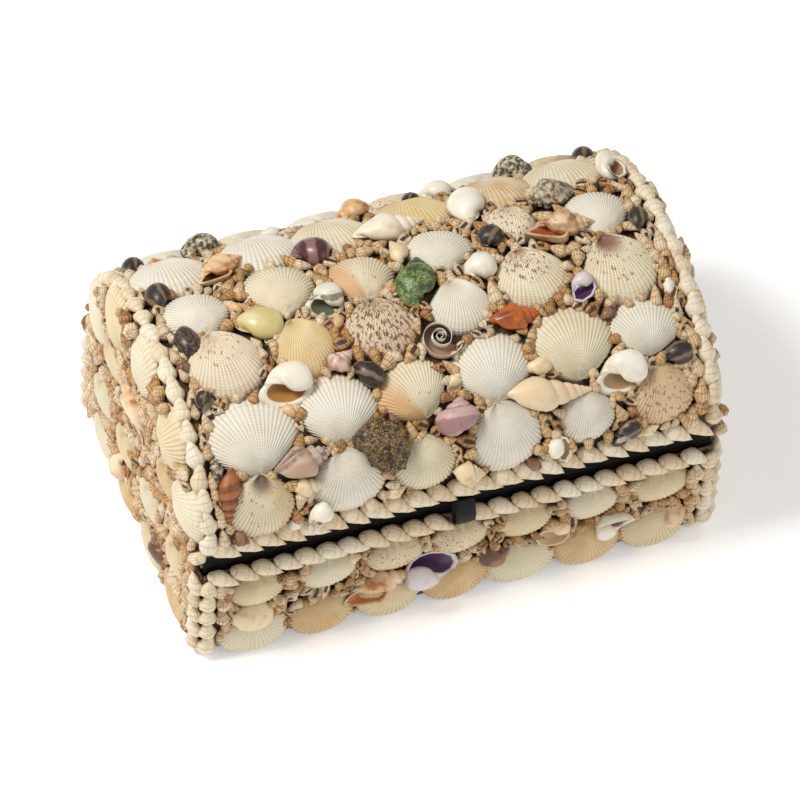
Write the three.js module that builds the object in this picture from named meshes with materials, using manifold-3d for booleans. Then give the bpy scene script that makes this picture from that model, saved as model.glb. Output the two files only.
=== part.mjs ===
// Shell box: a plain wooden box with a barrel lid, both covered in sea shells set in glue.
// Millimetres, +Z up. The origin is the centre of the flat underside, the front faces -Y.
import * as THREE from 'three';
import { mergeVertices } from 'three/addons/utils/BufferGeometryUtils.js';
import Module from 'manifold-3d';

const wasm = await Module();
wasm.setup();

// The wooden box and its lid
const LENGTH = 230;
const DEPTH = 142;
const BASE_HEIGHT = 55;
const WALL = 5;
const SKIRT = 7;
const RISE = 57.5;
const LID_STEPS = 20;
// Clearance left wherever one piece rests on another or is fitted round it
const GAP = 0.35;

// The borders of small whelks
const WHELK_PITCH = 9.7;
const WHELK_RADIUS = 3.9;
// The whelks of the long lower borders lie aslant and so take up more width than upright ones
const SLANT_SPREAD = 1.2;
const LID_BORDER_V = 13.2;
const BASE_BORDER_Z = BASE_HEIGHT - 5.6;
const BORDER_INSET = 3.6;
// Half the width of an upright whelk's line, and the height of its section, as shares of its radius
const UPRIGHT_HALF = 0.92;
const SECTION_HIGH = 1.7;
const SECTION_TOP = 0.72;
const BORDER_START = 3;
const FLOOR_CLEAR = 3;
const FIELD_EDGE = 8.5;

// The loop of ribbon
const TAB_WIDTH = 9;
const TAB_THICK = 0.9;
const TAB_DROP = 14;
const TAB_OUT = 7;
const TAB_STEPS = 13;

// The cockles of the lid lie in rows, the small ends of one row against those of the next
const COLUMN_PITCH = 35.5;
const FIRST_ROW_V = 31;
const LAST_ROW_INSET = 38.4;
const ROW_PITCH = 29.4;
const COCKLE_RISE = 8.4;
const COCKLE_SIDES = 9;
// A cockle's outline and height as shares of its size: how much it narrows towards the small end, how
// far its dome leans that way, and the scale and height of its shoulder
const COCKLE_NARROW = 0.3;
const COCKLE_LEAN = 0.12;
const SHOULDER_SCALE = 0.74;
const SHOULDER_HEIGHT = 0.78;
// The under side of a shell clears the wood by this much more at its middle than at its margin
const UNDER = 0.9;
// Each shell's place is [shift along, shift up, width, height, turn in degrees] from its column and row
const LID_ROWS = [
  { small_end: 'up', shells: [[-2.7, -3, 27, 27, -8], [3, 0, 34, 28, 8], [1, -1, 30, 24, -3],
    [2.5, 1.2, 33, 31, 8], [4, 1, 26, 23, 4], [3, 2, 29, 27, 8]] },
  { small_end: 'down', shells: [[1, -2, 40, 31, 0], [4.5, 0, 34, 28, -6], [1.7, 0, 31, 25, 14],
    [3.2, 1, 34, 28, -6], [4, 3, 36, 30, -6], [1.8, 1.6, 31, 23, -8]] },
  { small_end: 'up', shells: [[-0.5, 0, 33, 31, 6], [-1.2, -1, 27, 26, 6], [-2.6, -1, 31, 27, -8],
    [-1.8, 0, 26, 24, 0], [-3.2, 4.5, 32, 29, 4], [-0.3, -1, 32, 32, 12]] },
  { small_end: 'down', shells: [[-4, -1.5, 30, 26, 0], [-1.2, 1.5, 31, 30, -6], [-1.9, -4, 29, 27, -8],
    [0.2, 1, 29, 26, -14], [-1, 5, 22, 20, 160], [0.4, 0, 29, 28, 0]] },
  { small_end: 'up', shells: [[-5, 0, 30, 30, 4], [0, 2, 29, 28, 0], [-3, 0, 28, 29, 0],
    [-1, 1, 30, 28, 0], [2, 2, 26, 27, 0], [-3, 3, 31, 29, 0]] },
  { small_end: 'down', shells: [[0, 1, 34, 28, 4], [1, 0, 32, 27, -5], [0, 2, 34, 28, 0],
    [-1, 0, 31, 27, 6], [1, 2, 34, 28, -4], [0, 0, 32, 27, 0]] },
];
const FAR_ROWS = 2;
const FAR_SIDES = 8;
const FAR_LAP = 1.02;

// The odd shells of the lid: [column, row] place, length, width, rise, turn in degrees of the pointed end
const FIND_COLUMNS = 6;
const LID_FINDS = {
  turban: { at: [2.53, 2.52], length: 26, width: 18, rise: 13, turn: 72, blunt: 0.8 },
  spiral: { at: [2.56, 1.6], length: 18, width: 17, rise: 8, turn: 0, blunt: 1 },
  amber_snail: { at: [3.53, 1.62], length: 23, width: 12.5, rise: 11, turn: 2, blunt: 0.35 },
  moon_left: { at: [0.56, 1.47], length: 24, width: 15, rise: 12, turn: 184, blunt: 0.75 },
  moon_right: { at: [4.58, 0.52], length: 22, width: 16.5, rise: 12, turn: 184, blunt: 0.85 },
  auger: { at: [3.67, 0.51], length: 39, width: 12.5, rise: 12, turn: -6, blunt: 0.12 },
  mauve_snail: { at: [2.5, 0.5], length: 16, width: 19, rise: 13, turn: 80, blunt: 0.75 },
  rough_snail: { at: [1.51, 0.4], length: 24, width: 18, rise: 14, turn: -8, blunt: 0.35 },
  brown_conch: { at: [0.56, 0.44], length: 27, width: 14, rise: 12, turn: 12, blunt: 0.2 },
  ribbed_whelk: { at: [-0.4, 0.2], length: 24, width: 9.5, rise: 9, turn: -98, blunt: 0.2 },
  purple_nerite: { at: [-0.36, 2.49], length: 16, width: 12, rise: 10, turn: -80, blunt: 0.7 },
  yellow_oval: { at: [0.55, 2.47], length: 21, width: 15.5, rise: 11, turn: -6, blunt: 0.9 },
  open_nerite: { at: [1.38, 2.56], length: 17, width: 15, rise: 11, turn: 0, blunt: 0.8 },
  red_nerite: { at: [1.55, 3.57], length: 17, width: 15, rise: 12, turn: -20, blunt: 0.85 },
  cream_conch: { at: [0.42, 3.66], length: 27, width: 14, rise: 12, turn: 200, blunt: 0.2 },
  white_spindle: { at: [2.57, 3.66], length: 33, width: 14, rise: 13, turn: 4, blunt: 0.5 },
  white_egg: { at: [3.6, 3.72], length: 20, width: 17, rise: 13, turn: 90, blunt: 0.8 },
  orange_conch: { at: [4.46, 2.78], length: 31, width: 15, rise: 14, turn: -18, blunt: 0.25 },
  spotted_conch: { at: [4.6, 3.5], length: 22, width: 16, rise: 13, turn: 190, blunt: 0.3 },
  dark_nerite: { at: [-0.42, 3.42], length: 14, width: 12, rise: 10, turn: 95, blunt: 0.8 },
};
// Snails that stand proud over the far rows: column, length, width, rise, turn, bluntness
const SKYLINE_ROW = 0.69;
const SKYLINE = [[-0.41, 12, 11, 10, 80, 0.8], [0.44, 18, 15, 13, 20, 0.8], [2.41, 18, 13, 12, 190, 0.6],
  [3.46, 15, 12, 11, 10, 0.7], [4.5, 20, 14, 14, 15, 0.5], [5.4, 13, 11, 10, 70, 0.8]];
const FIND_SIDES = 6;
const SMALL_FIND_SIDES = 5;
const WALL_SIDES = 7;

// The walls of the base carry an upper row of upright cockles and a lower row that flares outwards
const WALL_PITCH = 30;
const UPPER_Z = 36.5;
const LOWER_Z = 10.9;
const UPPER_SIZE = [24, 20];
const LOWER_SIZE = [25, 19];
const UPPER_RISE = 7;
const LOWER_RISE = 5;
const LOWER_FLARE = 6;
const END_FLARE = 2.5;
// No two of a wall's cockles are quite alike in place, width and turn
const UNEVEN = 1.2;
// A bed of glue takes in the margins of the shells that share it
const BED = 1.8;
const BED_STEPS = 12;
const SUNK = BED * 0.3;

// The flat ends of the lid carry a fan of cockles that follows the arch
const END_CLEAR = -2;
const END_PITCH = 54;
const END_SIZE = [30, 26];
const END_RISE = 7;
const END_LOW = [{ along: -28, width: 24, turn: 8 }, { along: 34, width: 25, turn: -10 }];
const END_LOW_Z = 11;
const END_CONCH = { along: 4, up: 16, length: 34, width: 15, rise: 11, turn: 32, blunt: 0.3 };

// Colours of the wood, the ribbon and the shells
const BLACK_PAINT = 0x17130f;
const RIBBON = 0x14110f;
const WHELK_CREAM = 0xe2d3b8;
const COCKLE_CREAM = 0xece2cf;
const MIXED = 0xdccdb0;
const FIND_COLORS = {
  turban: 0x5a7038, spiral: 0xd8c6b4, amber_snail: 0xb4602a, moon_left: 0xeae2d0,
  moon_right: 0xeee8d8, auger: 0xdcb888, mauve_snail: 0xb49088, rough_snail: 0x5c482e,
  brown_conch: 0xa0724e, ribbed_whelk: 0xa8622c, purple_nerite: 0x44302e, yellow_oval: 0xd0c078,
  open_nerite: 0xc8c4ac, red_nerite: 0x70383c, cream_conch: 0xd4a878, white_spindle: 0xe6dcc4,
  white_egg: 0xe8e0cc, orange_conch: 0xb47a4a, spotted_conch: 0xa89a80, dark_nerite: 0x443830,
};

const HALF_L = LENGTH / 2;
const HALF_D = DEPTH / 2;
const LID_BOTTOM = BASE_HEIGHT + GAP;
const SPRING = BASE_HEIGHT + SKIRT;
const radians = THREE.MathUtils.degToRad;

// A closed solid from rings of points; a ring of one point is an apex
function loft(rings) {
  const triangles = [];
  for (let r = 0; r + 1 < rings.length; r += 1) {
    const a = rings[r];
    const b = rings[r + 1];
    const sides = Math.max(a.length, b.length);
    for (let i = 0; i < sides; i += 1) {
      const j = (i + 1) % sides;
      if (b.length > 1) triangles.push(a[i % a.length], b[j], b[i]);
      if (a.length > 1) triangles.push(a[i], a[j], b[j % b.length]);
    }
  }
  let volume = 0;
  for (let i = 0; i < triangles.length; i += 3) {
    volume += triangles[i].dot(triangles[i + 1].clone().cross(triangles[i + 2]));
  }
  if (volume < 0) triangles.reverse();
  return new THREE.BufferGeometry().setFromPoints(triangles);
}

function solid(geometry) {
  const plain = geometry.index ? geometry.toNonIndexed() : geometry.clone();
  plain.deleteAttribute('normal');
  plain.deleteAttribute('uv');
  const merged = mergeVertices(plain, 1e-4);
  return new wasm.Manifold(new wasm.Mesh({
    numProp: 3,
    vertProperties: new Float32Array(merged.attributes.position.array),
    triVerts: new Uint32Array(merged.index.array),
  }));
}

function largest(body) {
  return body.decompose().sort((a, b) => b.volume() - a.volume())[0];
}

function geometryOf(body) {
  const mesh = body.getMesh();
  const geometry = new THREE.BufferGeometry();
  geometry.setAttribute('position', new THREE.BufferAttribute(mesh.vertProperties, 3));
  geometry.setIndex(new THREE.BufferAttribute(mesh.triVerts, 1));
  return geometry;
}

// Faces: each takes u along, v up or round, h outwards, and gives the point
const crown = new THREE.EllipseCurve(0, SPRING, HALF_D, RISE, Math.PI, 0, true);
crown.arcLengthDivisions = 600;
const CROWN_LENGTH = crown.getLength();
const LID_ROUND = CROWN_LENGTH + 2 * SKIRT;

function onLid(u, v, h) {
  const t = THREE.MathUtils.clamp((v - SKIRT) / CROWN_LENGTH, 0, 1);
  const point = crown.getPointAt(t);
  const along = crown.getTangentAt(t);
  const below = Math.max(0, SKIRT - v) + Math.max(0, v - SKIRT - CROWN_LENGTH);
  return new THREE.Vector3(u - HALF_L, point.x - h * along.y, point.y + h * along.x - below);
}
const onFront = (u, v, h) => new THREE.Vector3(u - HALF_L, -HALF_D - h, v);
const onBack = (u, v, h) => new THREE.Vector3(u - HALF_L, HALF_D + h, v);
const onLeft = (u, v, h) => new THREE.Vector3(-HALF_L - h, u - HALF_D, v);
const onRight = (u, v, h) => new THREE.Vector3(HALF_L + h, u - HALF_D, v);

// Turns a shell's own p, q, h into a point of its face
function seat(face, place) {
  const c = Math.cos(radians(place.turn));
  const s = Math.sin(radians(place.turn));
  return (p, q, h) => face(place.u + p * c - q * s, place.v + p * s + q * c, GAP + h);
}

// A cockle, mouth down: rounded margin, narrower towards its small end, highest above the middle
function cockle(face, place, swell = 0) {
  const at = seat(face, { ...place, turn: place.turn + (place.down ? 180 : 0) });
  const flare = place.flare ?? 0;
  const sides = place.sides ?? COCKLE_SIDES;
  const ring = (scale, lift) => Array.from({ length: sides }, (_, i) => {
    const angle = (2 * Math.PI * i) / sides;
    const small = Math.max(0, Math.cos(angle));
    const p = (place.width / 2 + swell) * Math.sin(angle) * (1 - COCKLE_NARROW * small * small) * scale;
    const q = (place.height / 2 + swell) * Math.cos(angle) * scale;
    const out = flare * (0.5 - q / place.height);
    return at(p, q + (1 - scale) * place.height * COCKLE_LEAN, lift + out);
  });
  const rise = (place.rise ?? COCKLE_RISE) + swell;
  const floor = swell > 0 ? -GAP : place.sunk ?? 0;
  const bottom = at(0, 0, floor + (place.under ?? UNDER) + flare / 2);
  const top = at(0, place.height * COCKLE_LEAN, rise + flare / 2);
  return loft([[bottom], ring(1, floor), ring(SHOULDER_SCALE, rise * SHOULDER_HEIGHT), [top]]);
}

// A snail, conch or other single shell lying on its side: +p is the pointed end, and blunt says how
// little it narrows
function snail(face, place, swell = 0) {
  const at = seat(face, place);
  const half = place.length / 2 + swell;
  const wide = place.width / 2 + swell;
  const high = place.rise / 2 + swell;
  const sunk = place.sunk ?? 0;
  const stations = [[-0.88, 0.5], [-0.45, 0.96], [0.05, 0.72 + 0.26 * place.blunt],
    [0.6, 0.34 + 0.5 * place.blunt]];
  const sides = place.sides ?? FIND_SIDES;
  const ring = ([t, r]) => Array.from({ length: sides }, (_, i) => {
    const angle = (2 * Math.PI * (i + 0.5)) / sides - Math.PI / 2;
    const under = swell > 0 && Math.sin(angle) < -0.5;
    const lift = under ? -GAP : Math.max(sunk, high * r * (1 + Math.sin(angle)) - 0.5);
    return at(half * t, wide * r * Math.cos(angle), lift);
  });
  const tip = at(half, 0, high * (0.2 + 0.4 * place.blunt));
  return loft([[at(-half, 0, high * 0.45)], ...stations.map(ring), [tip]]);
}

// A line of whelks, each with its tip laid over the shoulder of the next one
function whelks(face, along, from, to, count, { plain = false, spread = 1 }) {
  const step = (to - from) / count;
  const grip = Math.sign(step);
  const foot = UPRIGHT_HALF * spread;
  const section = plain ? [[-foot, 0], [foot, 0], [0, SECTION_HIGH]]
    : [[-foot, 0], [foot, 0], [foot * SECTION_TOP, SECTION_HIGH], [-foot * SECTION_TOP, SECTION_HIGH]];
  const ring = (s, r) => section.map(([across, lift]) => along(face, s, across * r, GAP + lift * r));
  const rings = [[along(face, from - grip * 1.2, 0, GAP + WHELK_RADIUS * 0.8)]];
  for (let i = 0; i < count; i += 1) {
    rings.push(ring(from + (i + 0.16) * step, WHELK_RADIUS));
    rings.push(ring(from + (i + 0.93) * step, WHELK_RADIUS * 0.58));
  }
  rings.push([along(face, to + grip * 1.2, 0, GAP + WHELK_RADIUS * 0.6)]);
  return loft(rings);
}
const acrossFace = (v) => (face, s, across, h) => face(s, v + across, h);
const upFace = (u) => (face, s, across, h) => face(u + across, s, h);

// A plain strip over a part of a face, thick enough to cut by or thin as a bed of glue
function strip(face, [u0, u1], [v0, v1], [h0, h1]) {
  const steps = face === onLid ? Math.max(1, Math.round((v1 - v0) / 9)) : 1;
  const ring = (v) => [face(u0, v, h0), face(u1, v, h0), face(u1, v, h1), face(u0, v, h1)];
  const rings = Array.from({ length: steps + 1 }, (_, i) => ring(v0 + ((v1 - v0) * i) / steps));
  const middle = (r) => [r[0].clone().add(r[1]).add(r[2]).add(r[3]).multiplyScalar(0.25)];
  return loft([middle(rings[0]), ...rings, middle(rings[rings.length - 1])]);
}

const group = new THREE.Group();
group.name = 'shell_box';

function add(name, geometry, color, roughness) {
  const material = new THREE.MeshStandardMaterial({ color, roughness, metalness: 0 });
  const mesh = new THREE.Mesh(geometry, material);
  mesh.name = name;
  group.add(mesh);
}

// Heights that take in whatever stands on a face
const OVER = [-1, 22];

// Base: an open box of boards
function box(sx, sy, sz, z0) {
  return solid(new THREE.BoxGeometry(sx, sy, sz).translate(0, 0, z0 + sz / 2));
}
const baseBody = box(LENGTH, DEPTH, BASE_HEIGHT, 0)
  .subtract(box(LENGTH - 2 * WALL, DEPTH - 2 * WALL, BASE_HEIGHT, WALL));
add('base_box', geometryOf(baseBody), BLACK_PAINT, 0.9);

// Lid: a hollow barrel vault with flat ends, standing on the rim of the base
function vault(inset, bottom) {
  const outline = new THREE.Shape();
  const half = HALF_D - inset;
  outline.moveTo(-half, bottom);
  for (let i = 0; i <= LID_STEPS; i += 1) {
    const angle = Math.PI * (1 - i / LID_STEPS);
    outline.lineTo(half * Math.cos(angle), SPRING + (RISE - inset) * Math.sin(angle));
  }
  outline.lineTo(half, bottom);
  const length = LENGTH - 2 * inset;
  const body = new THREE.ExtrudeGeometry(outline, { depth: length, bevelEnabled: false });
  body.translate(0, 0, -length / 2);
  body.applyMatrix4(new THREE.Matrix4().set(0, 0, 1, 0, 1, 0, 0, 0, 0, 1, 0, 0, 0, 0, 0, 1));
  return solid(body);
}
add('lid', geometryOf(vault(0, LID_BOTTOM).subtract(vault(WALL, LID_BOTTOM - WALL))), BLACK_PAINT, 0.9);

// Columns and rows of the lid's cockles, spread over whatever length and depth the box has
const columns = Math.max(1, Math.round((LENGTH - 2 * FIELD_EDGE) / COLUMN_PITCH));
const rowsRound = LID_ROUND - FIRST_ROW_V - LAST_ROW_INSET;
const rows = Math.max(FAR_ROWS + 1, Math.round(rowsRound / ROW_PITCH) + 1);
const rowStep = rowsRound / (rows - 1);
const columnU = (c) => FIELD_EDGE + ((LENGTH - 2 * FIELD_EDGE) * (c + 0.5)) / columns;
const rowV = (r) => FIRST_ROW_V + r * rowStep;

// Borders: whelks round the lid's edge and along the base's rim and corners
const borderCount = (from, to) => Math.max(2, Math.round(Math.abs(to - from) / WHELK_PITCH));
function line(face, along, from, to, how = {}) {
  return solid(whelks(face, along, from, to, borderCount(from, to), how));
}
const slant = { spread: SLANT_SPREAD };
const lidBorder = line(onLid, acrossFace(LID_BORDER_V), BORDER_START, LENGTH - BORDER_START, slant)
  .add(line(onLid, acrossFace(LID_ROUND - LID_BORDER_V), LENGTH - BORDER_START, BORDER_START,
    { ...slant, plain: true }))
  .add(line(onLid, upFace(BORDER_INSET), LID_BORDER_V + 1, LID_ROUND - LID_BORDER_V - 1, { plain: true }))
  .add(line(onLid, upFace(LENGTH - BORDER_INSET), LID_BORDER_V + 1, LID_ROUND - LID_BORDER_V - 1,
    { plain: true }));
add('lid_border', geometryOf(lidBorder), WHELK_CREAM, 0.55);

function wallBorder(face, width, plain = false) {
  const upright = (u) => line(face, upFace(u), BASE_BORDER_Z + 0.5, FLOOR_CLEAR, { plain: true });
  return line(face, acrossFace(BASE_BORDER_Z), BORDER_START, width - BORDER_START, { ...slant, plain })
    .add(upright(BORDER_INSET))
    .add(upright(width - BORDER_INSET));
}

// The pull tab: a loop of ribbon caught under the lid's front border, hanging over the base's rim
const TAB_BACK = GAP + BED + GAP + TAB_THICK / 2;
const tabTop = BASE_HEIGHT + LID_BORDER_V - WHELK_RADIUS - GAP;
const tabPath = new THREE.CatmullRomCurve3([[0, 2.2], [1.1, 0.4], [2.6, 0.6], [TAB_OUT - 2.4, 4.6],
  [TAB_OUT - 1.4, 9], [TAB_OUT - 2.4, TAB_DROP - 1], [2.4, TAB_DROP - 0.4], [0.8, TAB_DROP - 3], [0, 7]]
  .map(([out, down]) => new THREE.Vector3(0, -HALF_D - TAB_BACK - out, tabTop - TAB_THICK - down)), true);
const tabRings = Array.from({ length: TAB_STEPS }, (_, i) => {
  const point = tabPath.getPoint(i / TAB_STEPS);
  const along = tabPath.getTangent(i / TAB_STEPS);
  const side = new THREE.Vector3(0, -along.z, along.y).multiplyScalar(TAB_THICK / 2);
  return [[-1, -1], [1, -1], [1, 1], [-1, 1]].map(([w, t]) => point.clone()
    .addScaledVector(side, t).setX((w * TAB_WIDTH) / 2));
});
const tab = loft([...tabRings, tabRings[0]]);
add('pull_tab', geometryOf(solid(tab)), RIBBON, 0.8);

// The front border of the base leaves room for the tab; its glue runs through behind it
const tabRoom = TAB_WIDTH / 2 + 2.5 * GAP;
const tabGlue = [GAP, GAP + BED];
const frontBorder = wallBorder(onFront, LENGTH)
  .subtract(solid(strip(onFront, [HALF_L - tabRoom, HALF_L + tabRoom], [0, BASE_HEIGHT + WALL], OVER)))
  .add(solid(strip(onFront, [HALF_L - tabRoom - 2, HALF_L + tabRoom + 2],
    [BASE_BORDER_Z - 2.5, BASE_BORDER_Z + 2.5], tabGlue)));
add('base_border_front', geometryOf(frontBorder), WHELK_CREAM, 0.55);
add('base_border_back', geometryOf(wallBorder(onBack, LENGTH, true)), WHELK_CREAM, 0.55);
add('base_border_left', geometryOf(wallBorder(onLeft, DEPTH, true)), WHELK_CREAM, 0.55);
add('base_border_right', geometryOf(wallBorder(onRight, DEPTH, true)), WHELK_CREAM, 0.55);

// Each shell is cut back to clear the ones laid before it
const laid = [];
function keepClear(cutter) {
  laid.push({ body: cutter, reach: cutter.boundingBox() });
}
function meets(a, b) {
  return [0, 1, 2].every((k) => a.min[k] < b.max[k] && b.min[k] < a.max[k]);
}
function clearOfLaid(body) {
  const reach = body.boundingBox();
  const near = laid.filter((other) => meets(reach, other.reach));
  return near.reduce((rest, other) => rest.subtract(other.body), body);
}
function lay(shape, face, place) {
  const body = clearOfLaid(solid(shape(face, place)));
  keepClear(solid(shape(face, place, GAP)));
  return largest(body);
}
const uprightHalf = WHELK_RADIUS * UPRIGHT_HALF + GAP;
const borderHalf = WHELK_RADIUS * UPRIGHT_HALF * SLANT_SPREAD + GAP;
for (const v of [LID_BORDER_V, LID_ROUND - LID_BORDER_V]) {
  keepClear(solid(strip(onLid, [-9, LENGTH + 9], [v - borderHalf - 4, v + borderHalf], OVER)));
}
const besideBorder = new THREE.BoxGeometry(DEPTH, DEPTH * 2, (BASE_HEIGHT + RISE) * 3);
for (const side of [-1, 1]) {
  const inner = HALF_L - BORDER_INSET - uprightHalf;
  keepClear(solid(besideBorder.clone().translate(side * (inner + DEPTH / 2), 0, 0)));
}

// The odd shells are laid first, then the cockles round them
for (const [name, find] of Object.entries(LID_FINDS)) {
  const [c, r] = find.at;
  const place = { ...find, u: columnU(c * (columns / FIND_COLUMNS)), v: rowV(r) };
  add(name, geometryOf(lay(snail, onLid, place)), FIND_COLORS[name], 0.35);
}

function cockleAt(r, c) {
  const row = LID_ROWS[r % LID_ROWS.length];
  const [du, dv, width, height, turn] = row.shells[c % row.shells.length];
  return { u: columnU(c) + du, v: rowV(r) + dv, width, height, turn, down: row.small_end === 'down' };
}
for (let r = 0; r < rows - FAR_ROWS; r += 1) {
  for (let c = 0; c < columns; c += 1) {
    add(`cockle_${'abcdefgh'[r]}${c + 1}`, geometryOf(lay(cockle, onLid, cockleAt(r, c))), COCKLE_CREAM, 0.5);
  }
}

// The shells of the far rows lap over one another and share one piece with the snails on them
function joined(bodies) {
  return bodies.reduce((sum, body) => sum.add(body));
}
const far = [];
for (let r = rows - FAR_ROWS; r < rows; r += 1) {
  for (let c = 0; c < columns; c += 1) {
    const width = ((LENGTH - 2 * FIELD_EDGE) / columns) * FAR_LAP;
    const place = { ...cockleAt(r, c), width, height: rowStep * FAR_LAP, sides: FAR_SIDES };
    far.push(solid(cockle(onLid, place)));
  }
}
SKYLINE.forEach(([column, length, width, rise, turn, blunt]) => {
  const u = columnU(column * (columns / FIND_COLUMNS));
  const v = rowV(rows - FAR_ROWS + SKYLINE_ROW);
  far.push(solid(snail(onLid, { u, v, length, width, rise, turn, blunt, sides: SMALL_FIND_SIDES })));
});
const farBody = laid.reduce((rest, other) => rest.subtract(other.body), joined(far));
add('far_cockles', geometryOf(largest(farBody)), COCKLE_CREAM, 0.5);

const onWall = { sides: WALL_SIDES, sunk: SUNK, under: 0 };
function wallShells(face, width, finds, flare) {
  const inner = width - 2 * FIELD_EDGE;
  const count = Math.max(1, Math.round(inner / WALL_PITCH));
  const top = BASE_BORDER_Z - borderHalf;
  const bedHeights = [LOWER_Z - 6, top - 1];
  const pieces = [strip(face, [FIELD_EDGE + 1, width - FIELD_EDGE - 1], bedHeights, [GAP, GAP + BED])];
  for (let i = 0; i < count; i += 1) {
    const u = FIELD_EDGE + (inner * (i + 0.5)) / count;
    const wobble = UNEVEN * Math.sin(5 * i + width);
    const upper = { u: u + wobble, v: UPPER_Z, width: UPPER_SIZE[0] + wobble, height: UPPER_SIZE[1] };
    const lower = { u: u - 2, v: LOWER_Z, width: LOWER_SIZE[0] - wobble, height: LOWER_SIZE[1], flare };
    pieces.push(cockle(face, { ...upper, turn: 3 * wobble, rise: UPPER_RISE, ...onWall }));
    pieces.push(cockle(face, { ...lower, turn: -4 * wobble, rise: LOWER_RISE, ...onWall }));
  }
  finds.forEach(([at, v, length, wide, rise, turn, blunt]) => {
    const place = { u: at * width, v, length, width: wide, rise, turn, blunt };
    pieces.push(snail(face, { ...place, sunk: SUNK, sides: SMALL_FIND_SIDES }));
  });
  let body = joined(pieces.map(solid));
  for (const [u0, u1] of [[-20, FIELD_EDGE], [width - FIELD_EDGE, width + 20]]) {
    body = body.subtract(solid(strip(face, [u0, u1], [-20, BASE_HEIGHT], OVER)));
  }
  return largest(body.subtract(solid(strip(face, [-9, width + 9], [top, BASE_HEIGHT + 9], OVER))));
}
// [share of the width, height, length, width, rise, turn, bluntness] of the odd shells on each wall
const FRONT_FINDS = [[0.087, 20, 22, 17, 9, 0, 0.9], [0.335, 20, 30, 15, 9, 0, 0.5],
  [0.448, 18, 20, 20, 11, 90, 0.7], [0.57, 19, 16, 15, 9, 20, 0.5], [0.683, 25, 16, 11, 9, 0, 0.8],
  [0.81, 20, 18, 16, 10, 180, 0.8], [0.93, 14, 16, 14, 10, -60, 0.6]];
const BACK_FINDS = [[0.5, 23, 22, 16, 10, 170, 0.7]];
const END_FINDS = [[0.29, 23, 18, 14, 10, 60, 0.6], [0.62, 23, 22, 15, 11, -70, 0.4]];
add('base_front_shells', geometryOf(wallShells(onFront, LENGTH, FRONT_FINDS, LOWER_FLARE)), MIXED, 0.5);
add('base_back_shells', geometryOf(wallShells(onBack, LENGTH, BACK_FINDS, LOWER_FLARE)), MIXED, 0.5);
add('base_left_shells', geometryOf(wallShells(onLeft, DEPTH, END_FINDS, END_FLARE)), MIXED, 0.5);
add('base_right_shells', geometryOf(wallShells(onRight, DEPTH, END_FINDS, END_FLARE)), MIXED, 0.5);

// The flat ends of the lid: a fan of cockles, margins inward, over a bed of glue of the arch's shape
const endCount = Math.max(3, Math.round(LID_ROUND / END_PITCH));
const endInset = END_CLEAR + END_SIZE[1] / 2;
function archBed(face) {
  const inset = END_CLEAR + BED * 2;
  const centre = [face(HALF_D, SPRING - 2, GAP), face(HALF_D, SPRING - 2, GAP + BED)];
  const edge = (h) => Array.from({ length: BED_STEPS + 1 }, (_, i) => {
    const angle = (Math.PI * i) / BED_STEPS;
    return face(HALF_D + (HALF_D - inset) * Math.cos(angle), SPRING + (RISE - inset) * Math.sin(angle), h);
  });
  return loft([[centre[0]], edge(GAP), edge(GAP + BED), [centre[1]]]);
}
function lidEnd(face) {
  const pieces = [archBed(face)];
  const [width, height] = END_SIZE;
  for (let i = 0; i < endCount; i += 1) {
    const angle = (Math.PI * (i + 0.5)) / endCount;
    const u = HALF_D + (HALF_D - endInset) * Math.cos(angle);
    const v = SPRING + (RISE - endInset) * Math.sin(angle) ** 0.8;
    const turn = THREE.MathUtils.radToDeg(angle) - 90;
    pieces.push(cockle(face, { u, v, width, height, turn, down: true, rise: END_RISE, ...onWall }));
  }
  END_LOW.forEach(({ along, width: wide, turn }) => {
    const place = { u: HALF_D + along, v: SPRING + END_LOW_Z, width: wide, height: 2 * END_LOW_Z, turn };
    pieces.push(cockle(face, { ...place, rise: END_RISE, ...onWall }));
  });
  const conch = { ...END_CONCH, u: HALF_D + END_CONCH.along, v: SPRING + END_CONCH.up };
  pieces.push(snail(face, { ...conch, sides: SMALL_FIND_SIDES }));
  return largest(joined(pieces.map(solid)));
}
add('lid_left_shells', geometryOf(lidEnd(onLeft)), MIXED, 0.5);
add('lid_right_shells', geometryOf(lidEnd(onRight)), MIXED, 0.5);

export default group;
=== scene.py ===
import math
import random

import bmesh
import bpy
import numpy as np
from mathutils import Matrix, Vector, noise


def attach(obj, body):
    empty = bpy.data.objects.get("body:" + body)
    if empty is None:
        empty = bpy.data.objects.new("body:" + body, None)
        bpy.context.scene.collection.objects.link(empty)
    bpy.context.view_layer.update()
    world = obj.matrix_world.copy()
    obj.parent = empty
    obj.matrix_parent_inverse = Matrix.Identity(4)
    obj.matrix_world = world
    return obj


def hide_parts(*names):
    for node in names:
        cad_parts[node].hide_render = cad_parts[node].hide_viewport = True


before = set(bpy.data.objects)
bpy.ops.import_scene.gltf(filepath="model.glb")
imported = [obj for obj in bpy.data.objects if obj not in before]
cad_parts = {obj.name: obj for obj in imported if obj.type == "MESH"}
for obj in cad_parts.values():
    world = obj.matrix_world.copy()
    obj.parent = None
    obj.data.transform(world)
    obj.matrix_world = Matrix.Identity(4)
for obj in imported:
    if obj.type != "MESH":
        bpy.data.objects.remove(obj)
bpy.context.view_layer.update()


# The studio: a white floor, a soft sky and two large lamps, and the camera that looks
# down on the front and the left end of the box from some way off.
AZIMUTH, ELEVATION, ROLL = (math.radians(a) for a in (-23.605, 50.065, 4.249))
CAMERA_DISTANCE = 3.0
PIXELS_PER_METRE = 2326.0
PICTURE = 800
AIM = Vector((0, 0, 0.060))
AIM_PIXEL = (2.375, -25.603)

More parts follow.
